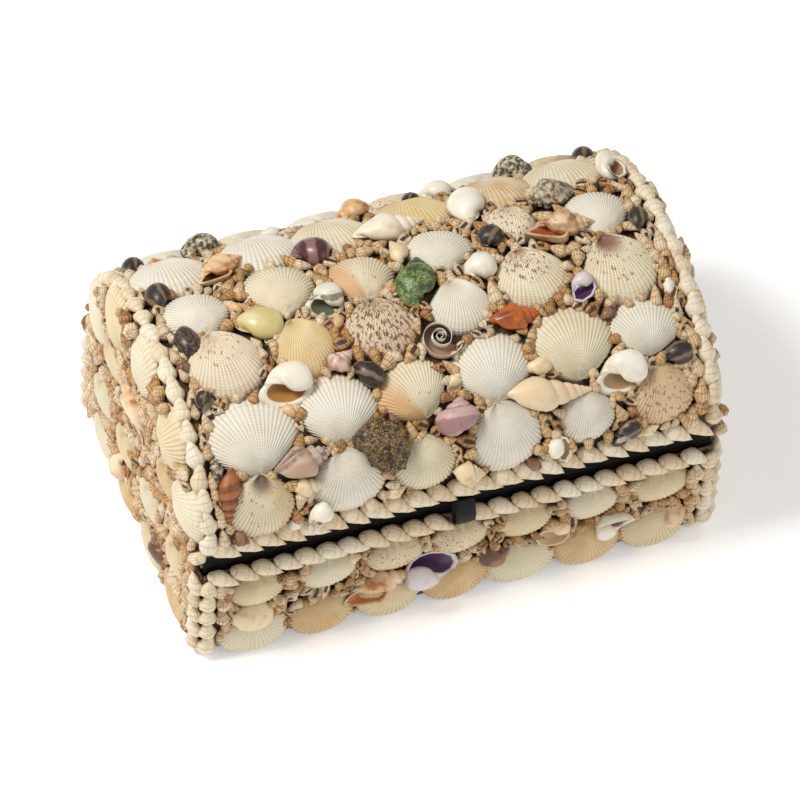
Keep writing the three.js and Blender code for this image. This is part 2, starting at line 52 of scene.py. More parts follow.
back = Vector((math.sin(AZIMUTH) * math.cos(ELEVATION), -math.cos(AZIMUTH) * math.cos(ELEVATION),
               math.sin(ELEVATION)))
level = Vector((0, 0, 1)).cross(back).normalized()
upward = back.cross(level)
right = math.cos(ROLL) * level + math.sin(ROLL) * upward
up = math.cos(ROLL) * upward - math.sin(ROLL) * level
stand = (AIM + back * CAMERA_DISTANCE - right * (AIM_PIXEL[0] / PIXELS_PER_METRE)
         + up * (AIM_PIXEL[1] / PIXELS_PER_METRE))
camera_data = bpy.data.cameras.new("camera")
camera_data.sensor_width = 36.0
camera_data.lens = PIXELS_PER_METRE * CAMERA_DISTANCE / PICTURE * camera_data.sensor_width
camera = bpy.data.objects.new("camera", camera_data)
camera.matrix_world = Matrix((right, up, back)).transposed().to_4x4()
camera.location = stand
bpy.context.scene.collection.objects.link(camera)
bpy.context.scene.camera = camera


def lamp(name, where, target, size, watts, colour):
    data = bpy.data.lights.new(name, "AREA")
    data.size = size
    data.energy = watts
    data.color = colour
    made = bpy.data.objects.new(name, data)
    made.location = where
    made.rotation_euler = (Vector(target) - Vector(where)).to_track_quat("-Z", "Y").to_euler()
    bpy.context.scene.collection.objects.link(made)


lamp("key_lamp", (-0.75, 0.15, 1.25), (0, 0, 0.06), 0.42, 15.6, (1.0, 0.985, 0.96))
lamp("fill_lamp", (0.9, -1.1, 0.8), (0, 0, 0.06), 0.9, 4.6, (1.0, 0.965, 0.91))
bpy.context.scene.view_settings.view_transform = "Standard"
sky = bpy.data.worlds.new("sky")
sky.use_nodes = True
sky.node_tree.nodes["Background"].inputs["Color"].default_value = (1.0, 0.995, 0.985, 1)
sky.node_tree.nodes["Background"].inputs["Strength"].default_value = 0.35
bpy.context.scene.world = sky


class Wire:
    """An output of a material's node, on which sums are written as Python expressions."""

    def __init__(self, socket):
        self.socket = socket

    def math(self, operation, first, second=0.0):
        tree = self.socket.id_data
        node = tree.nodes.new("ShaderNodeMath")
        node.operation = operation
        for socket, value in zip(node.inputs, (first, second)):
            if isinstance(value, Wire):
                tree.links.new(value.socket, socket)
            else:
                socket.default_value = value
        return Wire(node.outputs[0])

    def __add__(self, other):
        return self.math("ADD", self, other)

    def __sub__(self, other):
        return self.math("SUBTRACT", self, other)

    def __rsub__(self, other):
        return self.math("SUBTRACT", other, self)

    def __mul__(self, other):
        return self.math("MULTIPLY", self, other)

    def __pow__(self, other):
        return self.math("POWER", self, other)

    __radd__ = __add__
    __rmul__ = __mul__

    def cosine(self):
        return self.math("COSINE", self)


class Finish:
    """A material made of nodes round one Principled shader."""

    def __init__(self, name, **constants):
        self.material = bpy.data.materials.new(name)
        self.material.use_nodes = True
        self.tree = self.material.node_tree
        self.shader = self.tree.nodes["Principled BSDF"]
        for socket, value in constants.items():
            self.shader.inputs[socket.replace("_", " ")].default_value = value

    def node(self, kind, settings, sockets, output=0):
        made = self.tree.nodes.new("ShaderNode" + kind)
        for key, value in settings.items():
            if key == "stops":
                ramp = made.color_ramp.elements
                while len(ramp) < len(value):
                    ramp.new(0.5)
                for stop, (position, colour) in zip(ramp, value):
                    stop.position = position
                    stop.color = colour
            else:
                setattr(made, key, value)
        for key, value in sockets.items():
            self.feed(made.inputs[key], value)
        return Wire(made.outputs[output])

    def feed(self, socket, value):
        if isinstance(value, Wire):
            self.tree.links.new(value.socket, socket)
        else:
            socket.default_value = value

    def place(self):
        return self.node("TexCoord", {}, {}, "Object")

    def noise(self, scale, detail=2.0, at=None):
        return self.node("TexNoise", {}, {"Vector": at or self.place(), "Scale": scale, "Detail": detail})

    def smooth(self, value, low, high):
        return self.node("MapRange", {"interpolation_type": "SMOOTHSTEP"},
                         {"Value": value, "From Min": low, "From Max": high})

    def mix(self, factor, first, second):
        return self.node("Mix", {"data_type": "RGBA"}, {0: factor, 6: first, 7: second}, 2)

    def finish(self, colour, roughness, height=None, strength=0.5, distance=0.0004):
        self.feed(self.shader.inputs["Base Color"], colour)
        self.feed(self.shader.inputs["Roughness"], roughness)
        if height is not None:
            bump = self.node("Bump", {}, {"Height": height, "Strength": strength, "Distance": distance})
            self.feed(self.shader.inputs["Normal"], bump)
        return self.material


def rgb(red, green, blue):
    """A colour as the eye reads it off a screen, 0 to 255, as the shader wants it."""
    parts = [c / 255 for c in (red, green, blue)]
    return (*[c / 12.92 if c <= 0.04045 else ((c + 0.055) / 1.055) ** 2.4 for c in parts], 1.0)


def link_object(name, bm, material, smooth=True):
    mesh = bpy.data.meshes.new(name)
    bm.to_mesh(mesh)
    bm.free()
    mesh.polygons.foreach_set("use_smooth", [smooth] * len(mesh.polygons))
    mesh.materials.append(material)
    made = bpy.data.objects.new(name, mesh)
    bpy.context.scene.collection.objects.link(made)
    return made


floor_paint = Finish("floor_paint", Emission_Color=(1.0, 1.0, 1.0, 1.0), Emission_Strength=0.32)
floor_grain = floor_paint.noise(6.0)
floor_finish = floor_paint.finish(floor_paint.mix(floor_grain, rgb(252, 252, 252), rgb(248, 248, 249)), 0.9)
bm = bmesh.new()
bmesh.ops.create_grid(bm, x_segments=1, y_segments=1, size=4.0)
link_object("floor", bm, floor_finish, smooth=False)


# The box and its lid: thin boards painted black inside and out, brushed by hand, so the paint
# is a little uneven and worn brown along the rims. The solids keep their own shape.
wood = Finish("painted_wood", Specular_IOR_Level=0.15)
brush = wood.noise(60.0, 4.0)
stretched = wood.node("Mapping", {}, {"Vector": wood.place(), "Scale": (30.0, 400.0, 400.0)})
streaks = wood.noise(1.0, 3.0, stretched)
black = wood.mix(brush, rgb(5, 5, 4), rgb(13, 12, 10))
black = wood.mix(wood.smooth(streaks, 0.62, 0.78) * 0.3, black, rgb(44, 36, 29))
wood_finish = wood.finish(black, 0.55 + 0.25 * brush, streaks, 0.3, 0.0002)
for node in ("base_box", "lid"):
    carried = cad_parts[node]
    for material_slot in carried.material_slots:
        material_slot.material = wood_finish


# The shells are set on five faces: the round of the lid, and the four upright sides. A face takes
# millimetres along (u), up or round (v) and outwards (h), and gives the point.
LENGTH, DEPTH, BASE_HEIGHT = 230.0, 142.0, 55.0
SKIRT, RISE, SPRING = 7.0, 57.5, 62.0
HALF_L, HALF_D = LENGTH / 2, DEPTH / 2
STAND_OFF = 0.35
MM = 0.001

round_angles = np.linspace(math.pi, 0, 1201)
round_y = HALF_D * np.cos(round_angles)
round_z = SPRING + RISE * np.sin(round_angles)
round_length = np.concatenate([[0], np.cumsum(np.hypot(np.diff(round_y), np.diff(round_z)))])
CROWN = float(round_length[-1])
LID_ROUND = CROWN + 2 * SKIRT


def on_lid(u, v, h):
    way = min(max(v - SKIRT, 0.0), CROWN)
    angle = float(np.interp(way, round_length, round_angles))
    along = Vector((HALF_D * math.sin(angle), -RISE * math.cos(angle))).normalized()
    below = max(0.0, SKIRT - v) + max(0.0, v - SKIRT - CROWN)
    y = HALF_D * math.cos(angle) - h * along.y
    z = SPRING + RISE * math.sin(angle) + h * along.x - below
    return Vector(((u - HALF_L) * MM, y * MM, z * MM))


def on_front(u, v, h):
    return Vector((u - HALF_L, -HALF_D - h, v)) * MM


def on_back(u, v, h):
    return Vector((u - HALF_L, HALF_D + h, v)) * MM


def on_left(u, v, h):
    return Vector((-HALF_L - h, u - HALF_D, v)) * MM


def on_right(u, v, h):
    return Vector((HALF_L + h, u - HALF_D, v)) * MM


def seat(face, u, v, turn=0.0, lift=STAND_OFF):
    c, s = math.cos(math.radians(turn)), math.sin(math.radians(turn))
    return lambda p, q, h: face(u + p * c - q * s, v + p * s + q * c, lift + h)


def new_bmesh():
    bm = bmesh.new()
    bm.loops.layers.uv.new("UVMap")
    bm.verts.layers.float.new("tone")
    bm.verts.layers.float.new("inside")
    return bm


def finish_piece(name, bm, material, slot, *nodes):
    """Closes a mesh into a piece that rides on the box and stands for the nodes that it is."""
    bmesh.ops.recalc_face_normals(bm, faces=bm.faces)
    piece = link_object(name, bm, material)
    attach(piece, "root")
    if nodes:
        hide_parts(*nodes)
    return piece


# The pull tab: a loop of black ribbon, its ends caught under the whelks of the lid's front border.
# It is woven, limp and slightly open at the bottom, where fingers have pulled it.
TAB_WIDTH, TAB_THICK, TAB_OUT, TAB_DROP = 9.0, 0.9, 7.0, 14.0
TAB_TOP, TAB_BACK, TAB_CUP = 63.95, 2.25, 0.25
TAB_PATH = [(0, 2.2), (1.1, 0.4), (2.6, 0.6), (TAB_OUT - 2.4, 4.6), (TAB_OUT - 1.4, 9),
            (TAB_OUT - 2.4, TAB_DROP - 1), (2.4, TAB_DROP - 0.4), (0.8, TAB_DROP - 3), (0, 7)]


def closed_curve(points, share):
    """A point of the smooth loop through these points, at a share of the way round."""
    place = share * len(points)
    first = int(place) % len(points)
    t = place - int(place)
    a, b, c, d = (Vector(points[(first + k) % len(points)]) for k in (-1, 0, 1, 2))
    return 0.5 * (2 * b + (c - a) * t + (2 * a - 5 * b + 4 * c - d) * t ** 2
                  + (3 * b - a - 3 * c + d) * t ** 3)


ribbon = Finish("ribbon", Specular_IOR_Level=0.25)
weave_at = ribbon.node("UVMap", {"uv_map": "UVMap"}, {})
weave_x = ribbon.node("SeparateXYZ", {}, {0: weave_at}, 0)
weave_y = ribbon.node("SeparateXYZ", {}, {0: weave_at}, 1)
weave = (weave_x * (2 * math.pi * 60)).cosine() * 0.5 + (weave_y * (2 * math.pi * 14)).cosine() * 0.5
ribbon_black = ribbon.mix(weave * 0.5 + 0.5, rgb(4, 4, 5), rgb(11, 11, 12))
ribbon_finish = ribbon.finish(ribbon_black, 0.5, weave, 0.5, 0.0002)

bm = new_bmesh()
bmesh.ops.create_grid(bm, x_segments=64, y_segments=4, size=0.5, calc_uvs=True)
for vert in bm.verts:
    share, across = vert.co.x + 0.5, vert.co.y * 2
    out, down = closed_curve(TAB_PATH, share)
    cup = TAB_CUP * math.cos(across * math.pi / 2)
    stands_out = TAB_BACK + out + cup - TAB_CUP
    vert.co = on_front(HALF_L + across * TAB_WIDTH / 2, TAB_TOP - TAB_THICK - down, stands_out)
bmesh.ops.remove_doubles(bm, verts=bm.verts, dist=1e-6)
bmesh.ops.recalc_face_normals(bm, faces=bm.faces)
bmesh.ops.solidify(bm, geom=bm.faces[:], thickness=TAB_THICK * 0.6 * MM)
finish_piece("ribbon_loop", bm, ribbon_finish, "ribbon", "pull_tab")


# The cockles of the lid: whole half shells, mouth down, ribbed like a fan from the small end, with
# fine cross lines between the ribs. Most are cream or white, a few spotted, rayed or tan.
COLUMNS, ROWS = 6, 6
FIELD_EDGE, FIRST_ROW_V, LAST_ROW_INSET = 8.5, 31.0, 38.4
COCKLE_RISE = 8.4
COCKLE_RIBS = 46
UMBO, NARROW = 0.90, 0.32
FULLNESS = 1.08
ROW_STEP = (LID_ROUND - FIRST_ROW_V - LAST_ROW_INSET) / (ROWS - 1)


def column_u(c):
    return FIELD_EDGE + (LENGTH - 2 * FIELD_EDGE) * (c + 0.5) / COLUMNS


def row_v(r):
    return FIRST_ROW_V + r * ROW_STEP


def cockle(bm, at, width, height, rise=COCKLE_RISE, ribs=COCKLE_RIBS, flare=0.0, tone=0.5, seed=0,
           rings=14):
    """A ribbed half shell: its small end towards +q, highest above the middle, closed underneath."""
    made = bmesh.ops.create_grid(bm, x_segments=ribs * 3, y_segments=rings, size=0.5,
                                 calc_uvs=True)["verts"]
    tones = bm.verts.layers.float["tone"]
    lean = 0.05 * math.sin(seed * 2.7)
    width, height = width * FULLNESS, height * FULLNESS
    shape = {}
    for vert in made:
        s, t = vert.co.x * 2, vert.co.y + 0.5
        angle = math.pi * s
        narrow = max(0.0, -math.cos(angle))
        rim_p = width / 2 * math.sin(angle) * (1 - NARROW * narrow ** 1.4)
        rim_q = -height / 2 * math.cos(angle)
        crest = 0.5 + 0.5 * math.cos(angle * ribs)
        edge = 1 + 0.012 * (crest - 0.5) * t ** 3 + 0.012 * math.sin(3 * angle + seed)
        umbo_q = height / 2 * UMBO
        p = rim_p * t * edge + lean * width * (1 - t) * t
        q = umbo_q + (rim_q * edge - umbo_q) * t
        front = 0.5 + 0.5 * math.cos(angle)
        swell = 0.48 + 0.52 * math.sin(min(t / 0.46, 1.0) * math.pi / 2) * front ** 0.7
        dome = (1 - t ** 2.3) ** 0.62 if t < 1 else 0.0
        rings_worn = 0.12 * math.sin(t * 17 + seed) * t
        h = rise * dome * swell + 0.75 + rings_worn * dome
        rib = (0.36 + 0.40 * abs(math.sin(angle))) * (crest - 0.45) * t ** 0.5
        h += rib * (1 - 0.55 * t ** 2)
        p += rib * 0.5 * t ** 2 * math.sin(angle)
        q -= rib * 0.5 * t ** 2 * math.cos(angle)
        shape[vert] = (p, q, h)
        vert[tones] = tone
    for vert, (p, q, h) in shape.items():
        vert.co = at(p, q, h + flare * (0.5 - q / height))
    bmesh.ops.remove_doubles(bm, verts=made, dist=1e-6)
    made = [v for v in made if v.is_valid]
    margin = [e for e in {e for v in made for e in v.link_edges} if e.is_boundary]
    wall = bmesh.ops.extrude_edge_only(bm, edges=margin)["geom"]
    foot = [g for g in wall if isinstance(g, bmesh.types.BMVert)]
    low_edges = [g for g in wall if isinstance(g, bmesh.types.BMEdge) and g.is_boundary]
    centre = sum((v.co for v in foot), Vector()) / len(foot)
    down = (at(0, 0, 0) - at(0, 0, 1)).normalized()
    for vert in foot:
        inward = (centre - vert.co) * 0.06
        vert.co += inward + down * 0.75 * MM
    base = bmesh.ops.contextual_create(bm, geom=low_edges)["faces"]
    bmesh.ops.poke(bm, faces=base)


def cockle_finish(name, ground, between, marks=None, amount=0.0, reach=(0.0, 1.0), beak=None,
                  beak_reach=0.25, blush=None, ribs=COCKLE_RIBS, side=None):
    """The finish of a cockle: pale ribs, darker lines between them, then its spots, rays and stains."""
    f = Finish(name)
    at = f.node("UVMap", {"uv_map": "UVMap"}, {})
    s = f.node("SeparateXYZ", {}, {0: at}, 0)
    t = f.node("SeparateXYZ", {}, {0: at}, 1)
    crest = (s * (2 * math.pi * ribs) + math.pi * ribs).cosine() * 0.5 + 0.5
    groove = (1 - crest) ** 2.0
    cross = ((t * (2 * math.pi * 27)).cosine() * 0.5 + 0.5) ** 4.0
    patch = f.noise(90.0, 3.0)
    grain = f.noise(700.0, 2.0)
    lattice = groove * 0.62 + cross * 0.34
    colour = f.mix(lattice * (0.3 + 0.6 * f.smooth(patch, 0.3, 0.7)), ground, between)
    growth = f.node("TexNoise", {"noise_dimensions": "1D"}, {"W": t * 9.0, "Scale": 1.0, "Detail": 3.0})
    colour = f.mix(f.smooth(growth, 0.52, 0.75) * 0.22, colour, between)
    if blush:
        colour = f.mix(f.smooth(patch, 0.42, 0.62) * 0.75, colour, blush)
    if side:
        colour = f.mix(f.smooth(s + patch * 0.15, 0.60, 0.74) * 0.7, colour, side)
    if marks:
        spread = f.node("CombineXYZ", {}, {0: s * (ribs * 1.0), 1: t * 13.0, 2: 0.0})
        spots = f.node("TexNoise", {}, {"Vector": spread, "Scale": 0.9, "Detail": 1.5})
        begun = f.smooth(t, reach[0] - 0.05, reach[0] + 0.1)
        within = begun * (1 - f.smooth(t, reach[1] - 0.1, reach[1] + 0.05))
        shown = f.smooth(spots, 0.66 - 0.2 * amount, 0.72 - 0.2 * amount) * within
        colour = f.mix(shown * (0.55 + 0.45 * crest), colour, marks)
    if beak:
        near = 1 - f.smooth(t + patch * 0.12, beak_reach * 0.6, beak_reach + 0.12)
        colour = f.mix(near * 0.85, colour, beak)
    height = crest * 0.4 + cross * -0.3 + grain * 0.15
    return f.finish(colour, 0.42 + 0.25 * lattice, height, 0.5, 0.0005)


CREAM, WHITE, TAN_LINE = rgb(232, 223, 196), rgb(234, 230, 216), rgb(186, 148, 98)
PALE_LINE = rgb(196, 170, 126)
BROWN_MARK = rgb(128, 84, 56)
cockle_looks = {
    "plain": cockle_finish("cockle_plain", CREAM, TAN_LINE),
    "white": cockle_finish("cockle_white", WHITE, PALE_LINE),
    "tan": cockle_finish("cockle_tan", rgb(226, 205, 168), rgb(176, 134, 88), blush=rgb(208, 176, 130)),
    "beak": cockle_finish("cockle_beak", CREAM, TAN_LINE, marks=BROWN_MARK, amount=0.12,
                          beak=rgb(112, 72, 66), beak_reach=0.28, side=rgb(222, 196, 150)),
    "dots": cockle_finish("cockle_dots", rgb(232, 216, 186), rgb(188, 150, 104), marks=rgb(160, 108, 66),
                          amount=0.3),
    "few_dots": cockle_finish("cockle_few_dots", CREAM, TAN_LINE, marks=rgb(150, 100, 62), amount=0.12,
                              reach=(0.0, 0.5), side=rgb(214, 160, 96)),
    "rays": cockle_finish("cockle_rays", rgb(233, 221, 196), rgb(188, 148, 102), marks=rgb(178, 122, 82),
                          amount=0.38, reach=(0.0, 0.6)),
    "yellow": cockle_finish("cockle_yellow", rgb(229, 208, 160), rgb(190, 146, 88),
                            blush=rgb(222, 192, 134)),
    "brown": cockle_finish("cockle_brown", rgb(222, 202, 172), rgb(162, 118, 84), marks=rgb(108, 60, 40),
                           amount=0.74),
    "zigzag": cockle_finish("cockle_zigzag", CREAM, TAN_LINE, marks=rgb(146, 66, 46), amount=0.6,
                            reach=(0.0, 0.62), beak=rgb(170, 98, 66), beak_reach=0.16),
    "red_beak": cockle_finish("cockle_red_beak", CREAM, TAN_LINE, marks=rgb(150, 88, 60), amount=0.3,
                              reach=(0.1, 0.75), beak=rgb(124, 62, 44), beak_reach=0.38),
    "red_spots": cockle_finish("cockle_red_spots", CREAM, TAN_LINE, marks=rgb(150, 70, 48), amount=0.45),
    "scratched": cockle_finish("cockle_scratched", rgb(224, 200, 162), rgb(178, 136, 92),
                               marks=rgb(176, 108, 60), amount=0.5, reach=(0.2, 1.0)),
}
# Each shell: shift along and up from its place, width, height, turn, look; rows by turns end up and down
LID_ROWS = [
    (True, [(-1.5, -2, 31, 28, -8, "beak"), (3, 0, 34, 28, 8, "white"), (1, -1, 30, 24, -3, "plain"),
            (2.5, 1.2, 33, 31, 8, "white"), (4, 1, 26, 23, 4, "white"), (3, 2, 29, 27, 8, "scratched")]),
    (False, [(1, -2, 40, 31, 0, "white"), (4.5, 0, 34, 28, -6, "white"), (1.7, 0, 31, 25, 14, "few_dots"),
             (3.2, 1, 34, 28, -6, "white"), (4, 3, 36, 30, -6, "plain"), (1.8, 1.6, 31, 23, -8, "white")]),
    (True, [(-0.5, 0, 33, 31, 6, "rays"), (-1.2, -1, 27, 26, 6, "yellow"), (-2.6, -1, 31, 27, -8, "brown"),
            (-1.8, 0, 26, 24, 0, "white"), (-3.2, 4.5, 32, 29, 4, "zigzag"),
            (-0.3, -1, 32, 32, 12, "red_beak")]),
    (False, [(-4, -1.5, 30, 26, 0, "white"), (-1.2, 1.5, 31, 30, -6, "plain"),
             (-1.9, -4, 29, 27, -8, "few_dots"),
             (0.2, 1, 29, 26, -14, "white"), (-1, 5, 22, 20, 160, "red_spots"),
             (0.4, 0, 29, 28, 0, "white")]),
    (True, [(-5, 0, 30, 30, 4, "white"), (0, 2, 29, 28, 0, "white"), (-3, 0, 28, 29, 0, "plain"),
            (-1, 1, 30, 28, 0, "yellow"), (2, 2, 26, 27, 0, "tan"), (-3, 3, 31, 29, 0, "plain")]),
    (False, [(0, 1, 34, 28, 4, "white"), (1, 0, 32, 27, -5, "plain"), (0, 2, 34, 28, 0, "white"),
             (-1, 0, 31, 27, 6, "dots"), (1, 2, 34, 28, -4, "white"), (0, 0, 32, 27, 0, "tan")]),
]
FAR_ROWS = 2
FAR_LAP = 1.02
taken_on_lid = []

for r, (small_end_up, shells) in enumerate(LID_ROWS):
    for c, (du, dv, width, height, turn, look) in enumerate(shells):
        if r >= ROWS - FAR_ROWS:
            width, height = (LENGTH - 2 * FIELD_EDGE) / COLUMNS * FAR_LAP, ROW_STEP * FAR_LAP
        u, v = column_u(c) + du, row_v(r) + dv
        turn = turn + (0 if small_end_up else 180)
        taken_on_lid.append((u, v, width / 2, height / 2, turn))
        bm = new_bmesh()
        cockle(bm, seat(on_lid, u, v, turn), width, height, seed=r * 7 + c)
        name = f"{'abcdef'[r]}{c + 1}"
        if r < ROWS - FAR_ROWS:
            finish_piece(f"ribbed_cockle_{name}", bm, cockle_looks[look], "cockle_shell", f"cockle_{name}")
        else:
            finish_piece(f"far_cockle_{name}", bm, cockle_looks[look], "cockle_shell", "far_cockles")


# The walls of the base: an upper row of small cockles set upright and a lower row that flares out
# over the foot, both in a bed of brown glue that runs round behind them, its colour darkened as
# painted shade between the shells.
WALL_PITCH, UPPER_Z, LOWER_Z = 30.0, 36.0, 11.9
UPPER_SIZE, LOWER_SIZE = (27, 21), (29, 21)
UPPER_RISE, LOWER_RISE, LOWER_FLARE, END_FLARE = 7, 5, 6.0, 2.5
UNEVEN = 1.2
WALL_RIBS, WALL_RINGS = 38, 11
BED = 1.1
BASE_BORDER_Z = BASE_HEIGHT - 5.6
wall_look = {
    "pale": cockle_finish("wall_cockle_pale", rgb(230, 214, 176), TAN_LINE, ribs=WALL_RIBS),
    "white": cockle_finish("wall_cockle_white", rgb(232, 223, 196), PALE_LINE, ribs=WALL_RIBS),
    "tan": cockle_finish("wall_cockle_tan", rgb(224, 198, 152), rgb(176, 130, 80), blush=rgb(212, 172, 118),
                         ribs=WALL_RIBS),
    "dots": cockle_finish("wall_cockle_dots", rgb(232, 218, 186), TAN_LINE, marks=rgb(146, 76, 60),
                          amount=0.3, ribs=WALL_RIBS),
}

# The glue is a real brown, but its colour ramp is set darker than the glue so that it paints in the shade
# that falls deep between the shells.
glue = Finish("glue", Coat_Weight=0.25)
lumps = glue.noise(160.0, 4.0)
sand = glue.noise(1400.0, 2.0)
glue_and_painted_shade_colour = glue.node("ValToRGB", {"stops": [(0.32, rgb(38, 24, 14)), (0.52, rgb(78, 52, 31)),
                                               (0.72, rgb(130, 95, 60))]}, {0: lumps})
glue_and_painted_shade_finish = glue.finish(glue_and_painted_shade_colour, 0.35 + 0.3 * sand, lumps + sand * 0.3, 0.7, 0.0008)


def glue_bed(name, face, u_range, v_range, slot, thick=BED, outline=None):
    """A lumpy layer of glue over part of a face, closed behind; its dark brown is partly the glue's own
    colour and partly painted shade.
    """
    bm = new_bmesh()
    steps = [max(4, int((b - a) / 2.6)) for a, b in (u_range, v_range)]
    bmesh.ops.create_grid(bm, x_segments=steps[0], y_segments=steps[1], size=0.5, calc_uvs=True)
    for vert in bm.verts:
        u = u_range[0] + (vert.co.x + 0.5) * (u_range[1] - u_range[0])
        v = v_range[0] + (vert.co.y + 0.5) * (v_range[1] - v_range[0])
        if outline:
            u, v = outline(u, v)
        lump = noise.fractal(Vector((u, v, 3.0)) * 0.13, 1.0, 2.0, 3) * 0.9
        vert.co = face(u, v, STAND_OFF + thick + lump * 0.6)
    rim = [e for e in bm.edges if e.is_boundary]
    foot = [g for g in bmesh.ops.extrude_edge_only(bm, edges=rim)["geom"]]
    low_verts = [g for g in foot if isinstance(g, bmesh.types.BMVert)]
    low_edges = [g for g in foot if isinstance(g, bmesh.types.BMEdge) and g.is_boundary]
    down = (face(HALF_D, 40, 0) - face(HALF_D, 40, 1)).normalized()
    for vert in low_verts:
        vert.co += down * thick * 0.8 * MM
    under = bmesh.ops.contextual_create(bm, geom=low_edges)["faces"]
    bmesh.ops.poke(bm, faces=under)
    return finish_piece(name, bm, glue_and_painted_shade_finish, slot)


WALLS = (("front", on_front, LENGTH), ("back", on_back, LENGTH), ("left", on_left, DEPTH),
         ("right", on_right, DEPTH))
taken_on_wall = {}
for wall, face, width in WALLS:
    flare = LOWER_FLARE if width == LENGTH else END_FLARE
    inner = width - 2 * FIELD_EDGE
    count = round(inner / WALL_PITCH)
    groups = {look: new_bmesh() for look in wall_look}
    taken = taken_on_wall[wall] = []
    for i in range(count):
        u = FIELD_EDGE + inner * (i + 0.5) / count
        wobble = UNEVEN * math.sin(5 * i + width)
        upper = (u + wobble, UPPER_Z, UPPER_SIZE[0] + wobble, UPPER_SIZE[1], 3 * wobble)
        lower = (u - 2, LOWER_Z, LOWER_SIZE[0] - wobble, LOWER_SIZE[1], -4 * wobble)
        upper_look = "dots" if i % 7 in (2, 3) and width == LENGTH else ("pale", "white")[i % 2]
        lower_look = ("tan", "pale", "tan", "white")[(i + count) % 4]
        pair = ((upper, upper_look, UPPER_RISE, 0), (lower, lower_look, LOWER_RISE, flare))
        for (cu, cv, w, h, turn), look, rise, out in pair:
            at = seat(face, cu, cv, turn)
            cockle(groups[look], at, w, h, rise, WALL_RIBS, out, seed=i * 3 + out, rings=WALL_RINGS)
            taken.append((cu, cv, w / 2, h / 2, turn))
    for look, bm in groups.items():
        if bm.verts:
            finish_piece(f"{wall}_cockles_{look}", bm, wall_look[look], "mixed_shell",
                         f"base_{wall}_shells")
        else:
            bm.free()
    glue_bed(f"{wall}_glue", face, (-0.6, width + 0.6), (1.5, BASE_BORDER_Z + 2.5), "mixed_shell",
             thick=BED)


# The flat ends of the lid: five cockles that follow the arch, margins inward, and two below them,
# over an arch of glue.
END_CLEAR, END_COCKLES, END_SIZE = -2.5, 5, (29, 29)
END_LOW = ((-33, 24, 8), (35, 25, -10))
END_LOW_Z, END_RISE, ARCH_INSET, ARCH_FOOT = 11.5, 7, -0.4, 5
ENDS = (("left", on_left), ("right", on_right))
end_inset = END_CLEAR + END_SIZE[1] / 2
for end, face in ENDS:
    groups = {look: new_bmesh() for look in wall_look}
    taken = taken_on_wall["lid_" + end] = []
    laid = []
    for i in range(END_COCKLES):
        angle = math.pi * (i + 0.5) / END_COCKLES
        laid.append((HALF_D + (HALF_D - end_inset) * math.cos(angle),
                     SPRING + (RISE - end_inset) * math.sin(angle) ** 0.8,
                     *END_SIZE, math.degrees(angle) + 90))
    for along, width, turn in END_LOW:
        laid.append((HALF_D + along, SPRING + END_LOW_Z, width, 2 * END_LOW_Z, turn))
    for i, (u, v, width, height, turn) in enumerate(laid):
        look = ("white", "pale", "white", "pale", "white", "tan", "pale")[i]
        cockle(groups[look], seat(face, u, v, turn), width, height, END_RISE, WALL_RIBS, seed=i,
               rings=WALL_RINGS)
        taken.append((u, v, width / 2, height / 2, turn))
    for look, bm in groups.items():
        if bm.verts:
            name = f"lid_{end}_cockles_{look}"
            finish_piece(name, bm, wall_look[look], "mixed_shell", f"lid_{end}_shells")
        else:
            bm.free()

    def arch(u, v):
        share = (u - HALF_D) / HALF_D
        height = (v - SPRING) / RISE
        reach = RISE + ARCH_FOOT - ARCH_INSET
        return (HALF_D + share * (HALF_D - ARCH_INSET),
                SPRING - ARCH_FOOT + height * reach * math.sqrt(max(0.02, 1 - share ** 2)))
    glue_bed(f"lid_{end}_glue", face, (0, DEPTH), (SPRING, SPRING + RISE), "mixed_shell", outline=arch)


# The odd shells of the lid: whole snails, moons, nerites, conchs and an auger, lying on their sides in
# the gaps between the cockles. Each is a tube wound round its axis that grows at every turn.
FORMS = {
    #          turns growth centre wide   up   down  drop  ribs  rib_size
    "moon": (3, 2.3, 0.62, 1.0, 0.95, 1.15, 0.95, 0, 0.0),
    "nerite": (3, 2.5, 0.58, 1.0, 0.90, 1.10, 0.55, 0, 0.0),
    "turban": (4, 1.9, 0.62, 1.0, 0.95, 1.15, 1.9, 16, 0.06),
    "conch": (6, 1.5, 0.46, 1.0, 0.85, 2.6, 3.2, 9, 0.10),
    "whelk": (6, 1.42, 0.46, 1.0, 0.95, 1.6, 3.9, 14, 0.09),
    "spindle": (6, 1.5, 0.42, 1.0, 0.95, 2.2, 3.4, 0, 0.0),
    "auger": (9, 1.27, 0.50, 1.0, 1.0, 1.3, 8.2, 18, 0.09),
    "mitre": (7, 1.42, 0.42, 1.0, 1.15, 1.8, 3.8, 12, 0.03),
}


